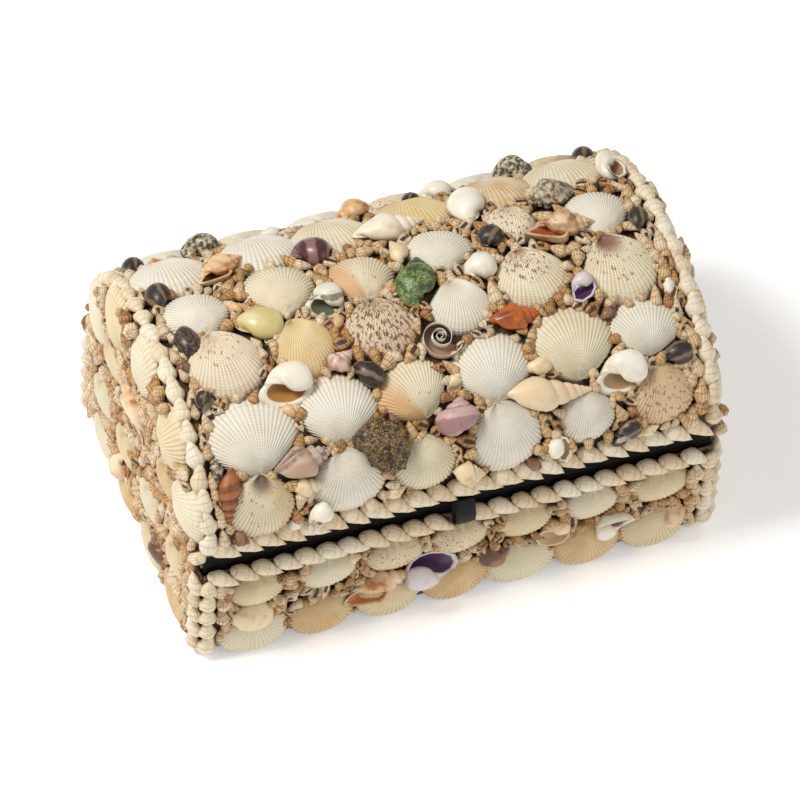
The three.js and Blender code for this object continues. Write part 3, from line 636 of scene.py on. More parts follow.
def snail(bm, at, length, width, rise, form, mouth=180.0, tone=0.5, around=20, section=12, knobs=0.0,
          rough=0.0, seed=0, lip_width=0.84):
    """A coiled shell on its side, pointed end towards +p, its opening on the right when the point is up;
    mouth says which way that looks: 0 up, 180 down."""
    turns, growth, centre, wide, up_half, down_half, drop, ribs, rib_size = FORMS[form]
    made = bmesh.ops.create_grid(bm, x_segments=turns * around, y_segments=section, size=0.5,
                                 calc_uvs=True)["verts"]
    tones = bm.verts.layers.float["tone"]
    inside = bm.verts.layers.float["inside"]
    end = 2 * math.pi * turns
    start_angle = math.radians(mouth) - end
    raw = {}
    first_ring, last_ring = [], []
    for vert in made:
        phi = (vert.co.x + 0.5) * end
        psi = vert.co.y * 2 * math.pi
        size = growth ** (phi / (2 * math.pi) - turns)
        rib = 1 + rib_size * math.cos(ribs * phi) * (0.5 + 0.5 * math.cos(psi - 0.6))
        if knobs:
            rib += knobs * max(0.0, math.cos(8 * phi)) * math.exp(-((psi - 0.9) / 0.45) ** 2)
        low = max(0.0, -math.sin(psi))
        radial = size * (centre + wide * math.cos(psi) * rib * (1 - 0.45 * low * (down_half > 1.4)))
        axial = size * (-drop + (up_half if math.sin(psi) > 0 else down_half) * math.sin(psi))
        angle = phi + start_angle
        raw[vert] = Vector((axial, -radial * math.cos(angle), radial * math.sin(angle)))
        if vert.co.x < -0.4999:
            first_ring.append(vert)
        elif vert.co.x > 0.4999:
            last_ring.append(vert)
    low_corner = [min(c[k] for c in raw.values()) for k in range(3)]
    high_corner = [max(c[k] for c in raw.values()) for k in range(3)]
    spans = (length, width, rise)
    offsets = (-length / 2, -width / 2, -0.4)
    for vert, co in raw.items():
        p, q, h = ((co[k] - low_corner[k]) / (high_corner[k] - low_corner[k]) * spans[k] + offsets[k]
                   for k in range(3))
        if rough:
            bump = noise.noise(Vector((p, q, h)) * 0.9 + Vector((seed, 0, 0))) * rough
            q *= 1 + bump
            h += bump * 4
        raw[vert] = (p, q, h)
        vert[tones] = tone
    for vert, (p, q, h) in raw.items():
        vert.co = at(p, q, max(h, -0.1))
    middle = sum((v.co for v in first_ring), Vector()) / len(first_ring)
    bmesh.ops.pointmerge(bm, verts=first_ring, merge_co=middle)
    last_ring = [v for v in last_ring if v.is_valid]
    bmesh.ops.remove_doubles(bm, verts=[v for v in made if v.is_valid], dist=2e-6)
    lip = [e for e in {e for v in last_ring if v.is_valid for e in v.link_edges} if e.is_boundary]
    if not lip:
        return
    inward = sum((v.co for e in lip for v in e.verts), Vector()) / (2 * len(lip))
    previous = sum((e.other_vert(v).co for v in {v for e in lip for v in e.verts} for e in v.link_edges
                    if not e.is_boundary), Vector())
    count = sum(1 for v in {v for e in lip for v in e.verts} for e in v.link_edges if not e.is_boundary)
    behind = (previous / count - inward).normalized()
    for shrink, depth, hollow in ((lip_width, 0.15, 0.0), (0.92, 0.8, 1.0), (0.55, 2.4, 1.0)):
        grown = bmesh.ops.extrude_edge_only(bm, edges=lip)["geom"]
        ring = [g for g in grown if isinstance(g, bmesh.types.BMVert)]
        lip = [g for g in grown if isinstance(g, bmesh.types.BMEdge) and g.is_boundary]
        hub = sum((v.co for v in ring), Vector()) / len(ring)
        for vert in ring:
            vert.co = hub + (vert.co - hub) * shrink + behind * depth * min(1.5, width / 12) * MM
            vert[inside] = hollow
            vert[tones] = tone
    bmesh.ops.contextual_create(bm, geom=lip)


def snail_finish(name, ground, second, inner, bands=0.0, flames=0.0, mottle=0.5, scale=260.0, gloss=0.3,
                 third=None, beads=0.0):
    """The finish of a coiled shell: bands run round the turns, flames across them, mottling anywhere."""
    f = Finish(name, Coat_Weight=0.08)
    at = f.node("UVMap", {"uv_map": "UVMap"}, {})
    along = f.node("SeparateXYZ", {}, {0: at}, 0)
    across = f.node("SeparateXYZ", {}, {0: at}, 1)
    cloud = f.noise(scale, 3.0)
    broad = f.noise(scale * 0.3, 2.0)
    grain = f.noise(1500.0, 2.0)
    mask = f.smooth(cloud, 0.54 - 0.20 * mottle, 0.78 - 0.20 * mottle) * min(1.0, mottle * 2)
    if bands:
        stripe = (across * (2 * math.pi * bands) + cloud * 2.0).cosine() * 0.5 + 0.5
        mask = mask * 0.4 + f.smooth(stripe, 0.55, 0.75) * 0.7
    if flames:
        flame = (along * (2 * math.pi * flames) + cloud * 3.0).cosine() * 0.5 + 0.5
        mask = mask * 0.4 + f.smooth(flame, 0.66, 0.92) * 0.8
    colour = f.mix(f.node("Clamp", {}, {0: mask}), ground, second)
    if third:
        colour = f.mix(f.smooth(broad, 0.42, 0.66), colour, third)
    hollow = f.node("Attribute", {"attribute_name": "inside"}, {}, "Fac")
    colour = f.mix(f.smooth(hollow, 0.3, 0.9), colour, inner)
    height = grain * 0.3 + cloud * 0.4
    if beads:
        beading = (along * (2 * math.pi * beads)).cosine() + (across * (2 * math.pi * 9)).cosine()
        height = height + beading * 0.25
    return f.finish(colour, gloss + 0.1 + 0.15 * grain, height, 0.35, 0.0004)


# [column, row], length, width, rise, turn, form, mouth, finish
finds = {
    "turban": ((2.53, 2.52), 26, 18, 13, 72, "turban", 180, "green_shell", snail_finish(
        "green_turban", rgb(84, 104, 54), rgb(148, 162, 104), rgb(190, 186, 160), mottle=0.7, scale=1000,
        third=rgb(58, 78, 40), gloss=0.25, beads=60)),
    "amber_snail": ((3.53, 1.62), 23, 12.5, 11, 2, "conch", 180, "amber_shell", snail_finish(
        "amber", rgb(190, 100, 40), rgb(134, 60, 24), rgb(226, 190, 150), mottle=0.5, scale=150,
        gloss=0.15)),
    "moon_left": ((0.56, 1.47), 24, 18, 12, -2, "moon", -24, "white_shell", snail_finish(
        "moon_cream", rgb(238, 230, 212), rgb(222, 200, 164), rgb(172, 122, 66), mottle=0.3, scale=120,
        gloss=0.18)),
    "moon_right": ((4.58, 0.52), 23, 18, 12, -4, "moon", -24, "white_shell", snail_finish(
        "moon_white", rgb(242, 237, 224), rgb(224, 206, 176), rgb(176, 140, 98), mottle=0.3, scale=120,
        gloss=0.18)),
    "auger": ((3.67, 0.51), 39, 14.5, 12.5, -6, "mitre", 180, "cream_shell", snail_finish(
        "auger_cream", rgb(232, 208, 170), rgb(226, 194, 150), rgb(230, 200, 160), mottle=0.3, scale=160,
        gloss=0.2)),
    "mauve_snail": ((2.5, 0.5), 16, 19, 13, 80, "turban", 200, "mauve_shell", snail_finish(
        "mauve", rgb(200, 168, 160), rgb(150, 104, 104), rgb(190, 150, 140), bands=2.0, mottle=0.3,
        gloss=0.25)),
    "rough_snail": ((1.51, 0.4), 25, 20, 15, -8, "nerite", 180, "dark_shell", snail_finish(
        "rough_dark", rgb(62, 46, 30), rgb(166, 132, 82), rgb(110, 88, 64), mottle=0.7, scale=1500,
        third=rgb(40, 29, 20), gloss=0.5)),
    "brown_conch": ((0.56, 0.44), 27, 14, 12, 12, "conch", 180, "brown_shell", snail_finish(
        "conch_brown", rgb(196, 176, 160), rgb(104, 72, 62), rgb(200, 150, 110), flames=14.0, mottle=0.4,
        third=rgb(190, 154, 128), gloss=0.25)),
    "ribbed_whelk": ((-0.4, 0.2), 25, 11.5, 10, -98, "whelk", 180, "brown_shell", snail_finish(
        "whelk_orange", rgb(168, 102, 56), rgb(116, 64, 34), rgb(190, 130, 80), mottle=0.4, bands=6.0,
        gloss=0.3)),
    "purple_nerite": ((-0.36, 2.49), 16, 12, 10, -80, "nerite", 180, "dark_shell", snail_finish(
        "nerite_purple", rgb(56, 41, 38), rgb(112, 92, 80), rgb(120, 90, 80), mottle=0.5, scale=900,
        gloss=0.2)),
    "yellow_oval": ((0.55, 2.47), 21, 15.5, 11, -6, "nerite", 180, "yellow_shell", snail_finish(
        "oval_yellow", rgb(208, 192, 126), rgb(228, 218, 176), rgb(240, 236, 220), mottle=0.4, scale=110,
        gloss=0.15)),
    "open_nerite": ((1.38, 2.56), 17, 16, 11, -6, "moon", -30, "cut_shell", snail_finish(
        "nerite_open", rgb(226, 221, 202), rgb(110, 98, 74), rgb(104, 106, 84), mottle=0.3, flames=9.0,
        gloss=0.2)),
    "red_nerite": ((1.55, 3.57), 17, 15, 12, -20, "nerite", 180, "mauve_shell", snail_finish(
        "nerite_red", rgb(80, 42, 46), rgb(156, 116, 112), rgb(140, 90, 80), mottle=0.2, bands=4.0,
        gloss=0.15)),
    "cream_conch": ((0.42, 3.66), 27, 14, 12, 24, "conch", 10, "cream_shell", snail_finish(
        "conch_cream", rgb(222, 182, 132), rgb(178, 118, 70), rgb(116, 66, 40), mottle=0.6,
        third=rgb(236, 214, 178), gloss=0.25)),
    "white_spindle": ((2.57, 3.66), 33, 14, 13, 4, "spindle", 180, "white_shell", snail_finish(
        "spindle_white", rgb(236, 226, 204), rgb(214, 190, 150), rgb(220, 190, 150), mottle=0.4, scale=140,
        gloss=0.2)),
    "white_egg": ((3.6, 3.72), 20, 17, 13, 90, "nerite", 180, "white_shell", snail_finish(
        "egg_white", rgb(240, 234, 218), rgb(226, 210, 182), rgb(220, 200, 170), mottle=0.3, scale=120,
        gloss=0.2)),
    "orange_conch": ((4.46, 2.78), 31, 15, 14, -10, "conch", 15, "amber_shell", snail_finish(
        "conch_orange", rgb(208, 172, 128), rgb(150, 102, 66), rgb(176, 96, 48), mottle=0.6,
        third=rgb(228, 204, 168), gloss=0.25)),
    "spotted_conch": ((4.6, 3.5), 22, 16, 13, 190, "conch", 180, "brown_shell", snail_finish(
        "conch_spotted", rgb(196, 182, 156), rgb(98, 78, 60), rgb(190, 160, 130), mottle=0.8, scale=420,
        gloss=0.3)),
    "dark_nerite": ((-0.42, 3.42), 14, 12, 10, 95, "nerite", 180, "dark_shell", snail_finish(
        "nerite_dark", rgb(52, 39, 32), rgb(134, 110, 84), rgb(120, 100, 80), mottle=0.1, flames=16.0,
        gloss=0.25)),
}
for node, (place, length, width, rise, turn, form, mouth, slot, finish) in finds.items():
    u, v = column_u(place[0]), row_v(place[1])
    bm = new_bmesh()
    knobs = 0.18 if form == "conch" and node != "amber_snail" else 0.0
    snail(bm, seat(on_lid, u, v, turn), length, width, rise, form, mouth, knobs=knobs,
          rough=0.4 if node == "rough_snail" else 0.0, around=40, section=22,
          lip_width=0.74 if form == "moon" else 0.84)
    finish_piece(f"{node}_shell", bm, finish, slot, node)
    taken_on_lid.append((u, v, length / 2, width / 2, turn))


# The snail cut across: it lies flat and shows its own spiral wall, white at the edge, with brown
# between the turns and a dark heart.
SPIRAL_AT, SPIRAL_RADIUS, SPIRAL_RISE, SPIRAL_TURNS = (2.56, 1.6), 10.0, 8.0, 2.2
spiral = Finish("cut_spiral", Coat_Weight=0.2)
spiral_uv = spiral.node("UVMap", {"uv_map": "UVMap"}, {})
spiral_across = spiral.node("SeparateXYZ", {}, {0: spiral_uv}, 1)
spiral_along = spiral.node("SeparateXYZ", {}, {0: spiral_uv}, 0)
in_valley = spiral.smooth(spiral_across, 0.14, 0.20) * (1 - spiral.smooth(spiral_across, 0.93, 0.98))
warm = spiral.mix(spiral.smooth(spiral_along, 0.02, 0.42), rgb(172, 138, 116), rgb(58, 34, 27))
outside = spiral.mix(spiral.noise(300.0, 3.0), rgb(126, 90, 70), rgb(190, 158, 130))
spiral_colour = spiral.mix(in_valley, rgb(236, 224, 206), warm)
spiral_colour = spiral.mix(1 - spiral.smooth(spiral_across, 0.07, 0.10), spiral_colour, outside)
spiral_finish = spiral.finish(spiral_colour, 0.3, spiral.noise(900.0), 0.3, 0.0003)
bm = new_bmesh()
bmesh.ops.create_grid(bm, x_segments=110, y_segments=12, size=0.5, calc_uvs=True)
u, v = column_u(SPIRAL_AT[0]), row_v(SPIRAL_AT[1])
at = seat(on_lid, u, v)
for vert in bm.verts:
    along, across = vert.co.x + 0.5, vert.co.y + 0.5
    angle = -along * SPIRAL_TURNS * 2 * math.pi - 0.6
    shrink = 2.1 ** (-along * SPIRAL_TURNS)
    radius = SPIRAL_RADIUS * shrink * (1 - (1 - 1 / 2.1) * max(0.0, (across - 0.12) / 0.88))
    wall = max(math.exp(-((across - 0.12) / 0.07) ** 2), math.exp(-((across - 1.0) / 0.06) ** 2))
    depth = SPIRAL_RISE * (0.30 + 0.70 * wall)
    if across < 0.12:
        depth = SPIRAL_RISE * max(0.0, across / 0.12) ** 0.5
        radius = SPIRAL_RADIUS * shrink * (1.0 + 0.03 * (0.12 - across) / 0.12)
    vert.co = at(radius * math.cos(angle), radius * math.sin(angle) * 0.95, depth)
bmesh.ops.solidify(bm, geom=bm.faces[:], thickness=0.5 * MM)
finish_piece("cut_spiral_shell", bm, spiral_finish, "cut_shell", "spiral")
taken_on_lid.append((u, v, SPIRAL_RADIUS, SPIRAL_RADIUS, 0))


# The borders: small cream whelks in a line, each with its tip over the shoulder of the next. They lie
# aslant along the long edges and stand upright on the slopes of the lid and down the corners.
WHELK_PITCH, LID_BORDER_V, BORDER_INSET, FLOOR_CLEAR = 9.7, 13.2, 3.6, 3.6
WHELK_OUTLINE = [(0.0, 0.12), (0.12, 0.52), (0.30, 0.93), (0.43, 1.0), (0.53, 0.80), (0.58, 0.70),
                 (0.72, 0.57), (0.77, 0.46), (1.0, 0.06)]
SPINDLE_OUTLINE = [(0.0, 0.12), (0.10, 0.58), (0.24, 0.94), (0.38, 1.0), (0.52, 0.86), (0.57, 0.75),
                   (0.74, 0.56), (0.79, 0.44), (1.0, 0.05)]
ROUND_OUTLINE = [(0.0, 0.35), (0.10, 0.78), (0.34, 1.0), (0.56, 0.84), (0.62, 0.68), (0.82, 0.42),
                 (1.0, 0.08)]
CONE_OUTLINE = [(0.0, 0.28), (0.08, 0.80), (0.24, 1.0), (0.44, 0.86), (0.50, 0.78), (0.70, 0.60),
                (0.76, 0.50), (1.0, 0.06)]


def whelk(bm, at, length, width, rise, sides=7, tone=0.5, tilt=0.0, outline=WHELK_OUTLINE, mouth=False):
    """A small whelk on its side, tip towards +p, its turns marked by the steps of its outline; with a
    mouth it lies on its back and shows its opening, which is only flattened and marked to be painted dark
    as the shade inside it."""
    made = bmesh.ops.create_grid(bm, x_segments=sides, y_segments=len(outline) - 1, size=0.5,
                                 calc_uvs=True)["verts"]
    tones = bm.verts.layers.float["tone"]
    inside = bm.verts.layers.float["inside"]
    ends = ([], [])
    for vert in made:
        station = round((vert.co.y + 0.5) * (len(outline) - 1))
        share, girth = outline[station]
        angle = 2 * math.pi * vert.co.x
        share = share + 0.035 * math.sin(angle) * girth
        p = (share - 0.5) * length
        q = girth * math.sin(angle) * width / 2
        open_here = mouth and 1 <= station <= 3 and abs(vert.co.x) < 0.01
        h = rise * 0.42 + girth * math.cos(angle) * rise / 2 * (0.25 if open_here else 1) + tilt * p
        vert[inside] = float(open_here)
        vert.co = at(p, q, h)
        vert[tones] = tone
        if station in (0, len(outline) - 1):
            ends[station > 0].append(vert)
    for ring in ends:
        bmesh.ops.pointmerge(bm, verts=ring, merge_co=sum((v.co for v in ring), Vector()) / len(ring))
    bmesh.ops.remove_doubles(bm, verts=[v for v in made if v.is_valid], dist=2e-6)


def whelk_finish(name, light, dark, beads):
    """The finish of small whelks: dark lines wind round between the turns, partly the shells' own colour
    and partly painted shade in the sutures, ribs cross them, and a shell's tone says how pale it is; a
    mouth is painted dark brown as the shade inside it."""
    f = Finish(name, Coat_Weight=0.1)
    at = f.node("UVMap", {"uv_map": "UVMap"}, {})
    round_it = f.node("SeparateXYZ", {}, {0: at}, 0)
    along = f.node("SeparateXYZ", {}, {0: at}, 1)
    tone = f.node("Attribute", {"attribute_name": "tone"}, {}, "Fac")
    cloud = f.noise(300.0, 3.0)
    turns = ((along * 3.5 + round_it) * (2 * math.pi)).cosine() * 0.5 + 0.5
    suture = turns ** 10.0
    cords = ((along * 14.0 + round_it) * (2 * math.pi)).cosine() * 0.5 + 0.5
    ribs = (round_it * (2 * math.pi * 12)).cosine() * 0.5 + 0.5
    bead = ribs * (0.35 + 0.65 * cords)
    ground = f.node("ValToRGB", {"stops": light}, {0: tone})
    low = f.node("ValToRGB", {"stops": dark}, {0: tone})
    colour = f.mix((1 - bead) ** 2.5 * beads, ground, low)
    colour = f.mix(f.smooth(cloud, 0.52, 0.66) * beads * 0.7, colour, low)
    # The dark suture line is partly the shell's own colour and partly painted shade in the groove between
    # the turns.
    colour = f.mix(suture * (0.3 + 0.4 * beads), colour, low)
    # The mouth is painted dark brown: painted shade inside an opening that the faces only flatten and do
    # not hollow out.
    hollow = f.node("Attribute", {"attribute_name": "inside"}, {}, "Fac")
    colour = f.mix(f.smooth(hollow, 0.25, 0.7), colour, rgb(74, 46, 30))
    roughness = 0.36 + 0.25 * cloud
    height = bead * 0.6 - suture + cloud * 0.3
    return f.finish(colour, roughness, height, 0.35 + 0.3 * beads, 0.0006)


border_finish = whelk_finish("border_whelks", [(0.0, rgb(228, 206, 172)), (0.5, rgb(238, 223, 194)),
                                               (1.0, rgb(241, 233, 212))],
                             [(0.0, rgb(184, 142, 96)), (0.5, rgb(198, 162, 118)),
                              (1.0, rgb(206, 178, 138))], 0.25)
brown_finish = whelk_finish("brown_whelks", [(0.0, rgb(198, 142, 82)), (0.3, rgb(224, 180, 118)),
                                             (0.6, rgb(234, 206, 156)), (1.0, rgb(240, 230, 206))],
                            [(0.0, rgb(82, 44, 20)), (0.35, rgb(130, 76, 34)), (0.7, rgb(160, 106, 54)),
                             (1.0, rgb(196, 158, 110))], 0.7)
rng = random.Random(11)
SLANT = 31.0
SLOPE_INSET = CORNER_INSET = BORDER_INSET - 2.4
ROPE_SIZE, UPRIGHT_SIZE, BORDER_RISE = (17.0, 8.3), (14.6, 8.8), 7.2
RIM_WHELKS = 20


def whelk_line(bm, face, start, end, slanted, point):
    """A line of whelks along a face from start to end; point turns a place on the line to (u, v)."""
    count = max(2, round(abs(end - start) / WHELK_PITCH))
    step = (end - start) / count
    for i in range(count):
        u, v = point(start + (i + 0.5) * step)
        if face is on_front and v == BASE_BORDER_Z and abs(u - HALF_L) < TAB_WIDTH / 2 + 3:
            continue
        if slanted:
            turn = (-SLANT if step > 0 else 180 - SLANT) + rng.uniform(-7, 7)
            length, width, outline, tilt = *ROPE_SIZE, SPINDLE_OUTLINE, 0.13
        else:
            turn = (90 if step > 0 else -90) + rng.uniform(-16, 16)
            length, width, outline, tilt = *UPRIGHT_SIZE, WHELK_OUTLINE, 0.16
        length += rng.uniform(-1.5, 1.2)
        width += rng.uniform(-0.7, 0.5)
        whelk(bm, seat(face, u, v, turn), length, width, BORDER_RISE, tone=rng.random(), tilt=tilt,
              outline=outline)


bm = new_bmesh()
whelk_line(bm, on_lid, 3, LENGTH - 3, True, lambda s: (s, LID_BORDER_V))
whelk_line(bm, on_lid, 3, LENGTH - 3, True, lambda s: (s, LID_ROUND - LID_BORDER_V))
for edge in (SLOPE_INSET, LENGTH - SLOPE_INSET):
    whelk_line(bm, on_lid, LID_BORDER_V + 1, LID_ROUND / 2, False, lambda s: (edge, s))
    whelk_line(bm, on_lid, LID_ROUND - LID_BORDER_V - 1, LID_ROUND / 2, False, lambda s: (edge, s))
finish_piece("lid_whelk_border", bm, border_finish, "whelk_shell", "lid_border")
for wall, face, width in WALLS:
    bm = new_bmesh()
    for edge in (CORNER_INSET, width - CORNER_INSET):
        whelk_line(bm, face, FLOOR_CLEAR, BASE_BORDER_Z + 1, False, lambda s: (edge, s))
    if width == LENGTH:
        whelk_line(bm, face, 3, width - 3, True, lambda s: (s, BASE_BORDER_Z))
    finish_piece(f"{wall}_whelk_border", bm, border_finish, "whelk_shell", f"base_border_{wall}")
    if width == LENGTH:
        continue
    bm = new_bmesh()
    for i in range(RIM_WHELKS):
        u = 5 + (width - 10) * (i + 0.5) / RIM_WHELKS
        whelk(bm, seat(face, u, BASE_BORDER_Z + rng.uniform(-1.5, 1.5), rng.uniform(0, 360)),
              rng.uniform(9, 12), 6.6, 6.4, tone=rng.random(), tilt=rng.uniform(-0.1, 0.3))
    finish_piece(f"{wall}_rim_whelks", bm, brown_finish, "whelk_shell", f"base_border_{wall}")


# The odd shells of the base walls and of the lid's ends: snails, conchs and nerites picked up by the
# handful, so that a few finishes serve for all of them, and for the smaller ones of the lid.
wall_snails = {
    "cream": snail_finish(
        "wall_snail_cream", rgb(232, 212, 172), rgb(210, 168, 112), rgb(220, 190, 150), mottle=0.3,
        gloss=0.25),
    "orange": snail_finish(
        "wall_snail_orange", rgb(222, 176, 124), rgb(172, 112, 68), rgb(196, 120, 58), mottle=0.5,
        third=rgb(234, 212, 178), gloss=0.22),
    "purple": snail_finish(
        "wall_snail_purple", rgb(214, 204, 204), rgb(168, 146, 172), rgb(84, 48, 88), mottle=0.2,
        gloss=0.2),
    "brown": snail_finish(
        "wall_snail_brown", rgb(150, 106, 76), rgb(92, 62, 48), rgb(130, 96, 70), flames=8.0, mottle=0.5,
        gloss=0.25),
    "white": snail_finish(
        "wall_snail_white", rgb(238, 231, 214), rgb(222, 202, 170), rgb(160, 122, 84), mottle=0.3,
        gloss=0.2),
    "dark": snail_finish(
        "small_snail_dark", rgb(50, 38, 31), rgb(132, 112, 88), rgb(206, 198, 176), flames=14.0,
        mottle=0.1, gloss=0.25),
    "speckled": snail_finish(
        "small_snail_speckled", rgb(64, 50, 36), rgb(206, 192, 164), rgb(196, 186, 164), mottle=0.7,
        scale=520, gloss=0.3),
    "pink": snail_finish(
        "small_snail_pink", rgb(220, 190, 170), rgb(172, 118, 104), rgb(190, 140, 120), mottle=0.5,
        gloss=0.25),
}
END_CONCH_AT, END_CONCH_SIZE, END_CONCH_TURN = (4, 16), (34, 15, 11), 32
# Share of the width, height, length, width, rise, turn, form, mouth and finish
WALL_SNAILS = {
    "front": [(0.087, 20, 22, 17, 9, 0, "nerite", 180, "cream"),
              (0.335, 20, 34, 15, 10, 14, "conch", 42, "orange"),
              (0.442, 23, 24, 19, 13, 172, "moon", -24, "purple"),
              (0.57, 19, 16, 15, 9, 20, "turban", 180, "brown"),
              (0.683, 25, 16, 11, 9, 0, "moon", 40, "cream"),
              (0.81, 20, 18, 16, 10, 180, "moon", 35, "white"),
              (0.93, 14, 16, 14, 10, -60, "turban", 180, "orange"),
              (0.598, 9.5, 12, 9, 7, 0, "nerite", 180, "dark"),
              (0.722, 12, 13, 10, 7, 10, "turban", 180, "pink"),
              (0.287, 41, 10, 7, 6, 0, "whelk", 0, "cream")],
    "back": [(0.5, 23, 22, 16, 10, 170, "conch", 180, "brown")],
}
WALL_SNAILS["left"] = WALL_SNAILS["right"] = [(0.29, 23, 18, 14, 10, 60, "conch", 180, "brown"),
                                              (0.62, 23, 22, 15, 11, -70, "conch", 0, "orange")]
for wall, face, width in WALLS:
    for i, (share, v, length, wide, rise, turn, form, mouth, look) in enumerate(WALL_SNAILS[wall]):
        bm = new_bmesh()
        snail(bm, seat(face, share * width, v, turn), length, wide, rise, form, mouth, lip_width=0.9)
        taken_on_wall[wall].append((share * width, v, length / 2, wide / 2, turn))
        finish_piece(f"{wall}_snail_{i + 1}", bm, wall_snails[look], "mixed_shell", f"base_{wall}_shells")
for end, face in ENDS:
    bm = new_bmesh()
    along, up = HALF_D + END_CONCH_AT[0], SPRING + END_CONCH_AT[1]
    length, wide, rise = END_CONCH_SIZE
    snail(bm, seat(face, along, up, END_CONCH_TURN), length, wide, rise, "conch", 0)
    taken_on_wall["lid_" + end].append((along, up, length / 2, wide / 2, END_CONCH_TURN))
    finish_piece(f"lid_{end}_snail", bm, wall_snails["orange"], "mixed_shell", f"lid_{end}_shells")


# Six snails sit proud over the far rows, where they break the skyline of the lid.
SKYLINE_V = row_v(ROWS - FAR_ROWS + 0.69)
# Column, length, width, rise, turn, form, mouth and finish
SKYLINE = [(-0.41, 12, 11, 10, 80, "nerite", 180, "dark"),
           (0.44, 18, 15, 13, 20, "nerite", 180, "speckled"),
           (2.41, 18, 13, 12, 190, "turban", 180, "orange"), (3.46, 15, 12, 11, 10, "moon", 180, "white"),
           (4.5, 20, 14, 14, 15, "turban", 180, "speckled"), (5.4, 13, 11, 10, 70, "nerite", 180, "dark")]
for i, (column, length, width, rise, turn, form, mouth, look) in enumerate(SKYLINE):
    bm = new_bmesh()
    snail(bm, seat(on_lid, column_u(column), SKYLINE_V, turn), length, width, rise, form, mouth)
    taken_on_lid.append((column_u(column), SKYLINE_V, length / 2, width / 2, turn))
    finish_piece(f"skyline_snail_{i + 1}", bm, wall_snails[look], "mixed_shell", "far_cockles")


# Smaller snails, nerites and little open whelks wedged between the cockles of the lid, a little higher
# than the glue, on the margins of their neighbours.
SMALL_LIFT, SMALL_HEIGHT = 1.6, 0.85
# Place along and round the lid, length, width, turn, form, mouth and finish
SMALL_SNAILS = [
    (144.6, 103.6, 15, 13, 20, "nerite", 180, "white"), (73, 78.6, 14, 11, 30, "whelk", 180, "pink"),
    (82.4, 71, 15, 11, -30, "nerite", 180, "dark"), (154.6, 117, 12, 12, 40, "nerite", 180, "dark"),
    (219, 108, 12.5, 9.5, 80, "nerite", 180, "dark"), (216, 48.6, 14, 10, 10, "nerite", 180, "dark"),
    (187.7, 21.4, 14, 11, 20, "moon", -20, "dark"), (182.9, 83, 13.5, 11, 30, "moon", 0, "purple"),
    (221, 141.4, 18, 13, 80, "moon", -10, "white"), (11.3, 74.3, 11, 9.5, 60, "moon", -10, "dark"),
    (8.6, 49.3, 13, 7, 95, "whelk", 180, "speckled"), (48.9, 19.3, 13.5, 12, 30, "moon", -20, "white"),
    (116.7, 22, 15.5, 11, -10, "conch", 180, "cream"), (158, 21.4, 12.5, 11, 100, "moon", -10, "white"),
    (73.9, 17.9, 10, 7, -20, "whelk", 180, "orange"), (13.9, 17.9, 12, 8, -40, "whelk", 0, "brown"),
    (83.4, 20, 12, 7, 20, "conch", -10, "cream"), (145.3, 17, 12, 7, -30, "conch", -10, "brown"),
    (198, 18.6, 12, 7, 15, "conch", -10, "cream"), (38.6, 16.9, 11, 6.5, 30, "conch", -10, "white"),
    (87.4, 50, 12, 7, -60, "conch", -10, "brown"), (118, 58.9, 12, 7, 40, "conch", -10, "cream"),
    (78, 94.6, 11, 7, 70, "conch", -10, "orange"), (176, 50, 12, 7, -40, "conch", -10, "cream"),
    (221, 75, 12, 7, 80, "conch", -10, "white"), (191, 70, 12, 7, 35, "conch", -10, "brown"),
    (40.7, 114.6, 9, 7, 10, "whelk", 180, "orange"), (8, 94, 10, 7, 85, "whelk", 180, "brown"),
    (103.9, 105.7, 12, 7, 45, "whelk", 180, "orange"), (115, 123, 15, 10, 95, "whelk", 180, "cream"),
    (47.4, 64.3, 11, 6.5, 0, "whelk", 180, "orange"), (155, 57, 13, 8, 10, "nerite", 180, "cream"),
    (46.7, 33.6, 17, 9, 0, "whelk", 180, "cream"), (22, 166, 11, 8, 20, "whelk", 180, "orange"),
    (73, 167, 11, 9, 40, "nerite", 180, "white"), (137, 166, 11, 9, 60, "nerite", 180, "dark"),
]
small_groups = {look: new_bmesh() for look in wall_snails}
for u, v, length, width, turn, form, mouth, look in SMALL_SNAILS:
    at = seat(on_lid, u, v, turn, lift=SMALL_LIFT)
    snail(small_groups[look], at, length, width, width * SMALL_HEIGHT, form, mouth, around=12, section=8)
    taken_on_lid.append((u, v, length / 2, width / 2, turn))
for look, bm in small_groups.items():
    finish_piece(f"small_snails_{look}", bm, wall_snails[look], "mixed_shell")


# The glue of the lid: a thin brown layer over the boards, under all the shells. It shows only as a dark
# ground between them, its brown darkened as painted shade.
GLUE_OVER, LID_GLUE_EDGE, LID_GLUE = 0.6, 9.5, 0.6
glue_bed("lid_glue", on_lid, (-GLUE_OVER, LENGTH + GLUE_OVER), (LID_GLUE_EDGE, LID_ROUND - LID_GLUE_EDGE),
         "mixed_shell", thick=LID_GLUE)


# Small beaded whelks, gold-brown and white, pushed into every gap between the bigger shells while the
# glue was soft. On the slopes and at the corners they stand in a column beside the border.
SMALLEST, LARGEST, CLOSE = 4.6, 7.0, 0.40
EDGE_COLUMN, CORNER_COLUMN = (6.0, 11.5), (5.5, 9.5)
LID_GAPS, WALL_GAPS = (9.5, 19.5), (7.6, 43)


def room(u, v, taken):
    """How far a point lies outside the nearest of the shells already laid, in millimetres."""
    best = 99.0
    for cu, cv, a, b, turn in taken:
        if abs(u - cu) > a + 20 or abs(v - cv) > a + 20:
            continue
        c, s = math.cos(math.radians(turn)), math.sin(math.radians(turn))
        p, q = (u - cu) * c + (v - cv) * s, -(u - cu) * s + (v - cv) * c
        share = math.hypot(p / a, q / b)
        best = min(best, (share - 1) * min(a, b))
    return best


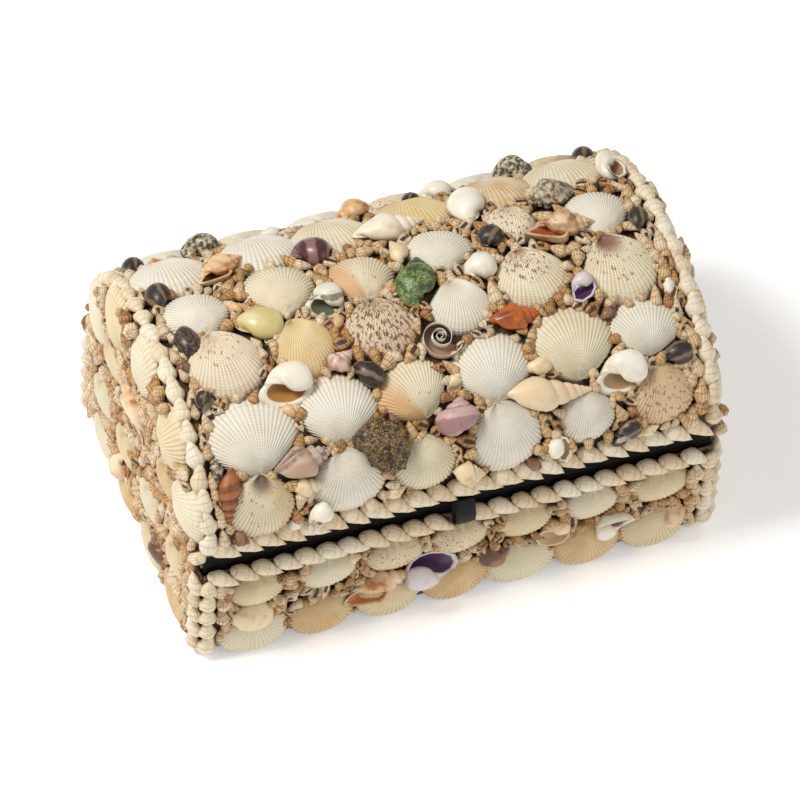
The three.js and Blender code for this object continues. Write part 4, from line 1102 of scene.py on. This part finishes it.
def fill_gaps(bm, face, taken, u_range, v_range, tries, inside=None, turns=(0, 360), tones=(0, 1)):
    """Lays small whelks wherever the shells laid so far leave room, bigger where there is more of it."""
    put = []
    for _ in range(tries):
        u, v = rng.uniform(*u_range), rng.uniform(*v_range)
        if inside and not inside(u, v):
            continue
        gap = room(u, v, taken)
        if gap < -0.3:
            continue
        width = min(LARGEST, SMALLEST + gap * 0.9) * rng.uniform(0.85, 1.1)
        if any((u - a) ** 2 + (v - b) ** 2 < ((width + other) * CLOSE) ** 2 for a, b, other in put):
            continue
        put.append((u, v, width))
        mouth = rng.random() < 0.35
        outline = rng.choice((WHELK_OUTLINE, ROUND_OUTLINE, CONE_OUTLINE))
        at = seat(face, u, v, rng.uniform(*turns), lift=2.6 - 0.5 * min(gap, 3))
        length = width * rng.uniform(1.3, 1.9)
        tone = rng.uniform(*tones) ** 0.75
        whelk(bm, at, length, width, width, sides=8 if mouth else 6, tone=tone,
              tilt=rng.uniform(-0.15, 0.35), outline=outline, mouth=mouth)
    taken += [(u, v, width / 2, width / 2, 0) for u, v, width in put]


bm = new_bmesh()
edge_round = (20, LID_ROUND - 20)
fill_gaps(bm, on_lid, taken_on_lid, EDGE_COLUMN, edge_round, 3000, turns=(74, 106), tones=(0.5, 1))
fill_gaps(bm, on_lid, taken_on_lid, (LENGTH - 12.0, LENGTH - 6.0), edge_round, 3000, turns=(60, 120))
fill_gaps(bm, on_lid, taken_on_lid, (LID_GAPS[0], LENGTH - LID_GAPS[0]),
          (LID_GAPS[1], LID_ROUND - LID_GAPS[1]), 16000)
finish_piece("lid_gap_whelks", bm, brown_finish, "whelk_shell")
for wall, face, width in WALLS:
    bm = new_bmesh()
    near, far = CORNER_COLUMN
    for edges in ((near, far), (width - far, width - near)):
        fill_gaps(bm, face, taken_on_wall[wall], edges, WALL_GAPS, 500, turns=(74, 106), tones=(0.6, 1))
    fill_gaps(bm, face, taken_on_wall[wall], (8, width - 8), WALL_GAPS, 5000)
    finish_piece(f"{wall}_gap_whelks", bm, brown_finish, "whelk_shell")
for end, face in ENDS:
    bm = new_bmesh()
    fill_gaps(bm, face, taken_on_wall["lid_" + end], (1, DEPTH - 1), (SPRING - 3, SPRING + RISE - 1), 6000,
              inside=lambda u, v: math.hypot((u - HALF_D) / (HALF_D - 1), (v - SPRING) / (RISE - 1)) < 1)
    finish_piece(f"lid_{end}_gap_whelks", bm, brown_finish, "whelk_shell")
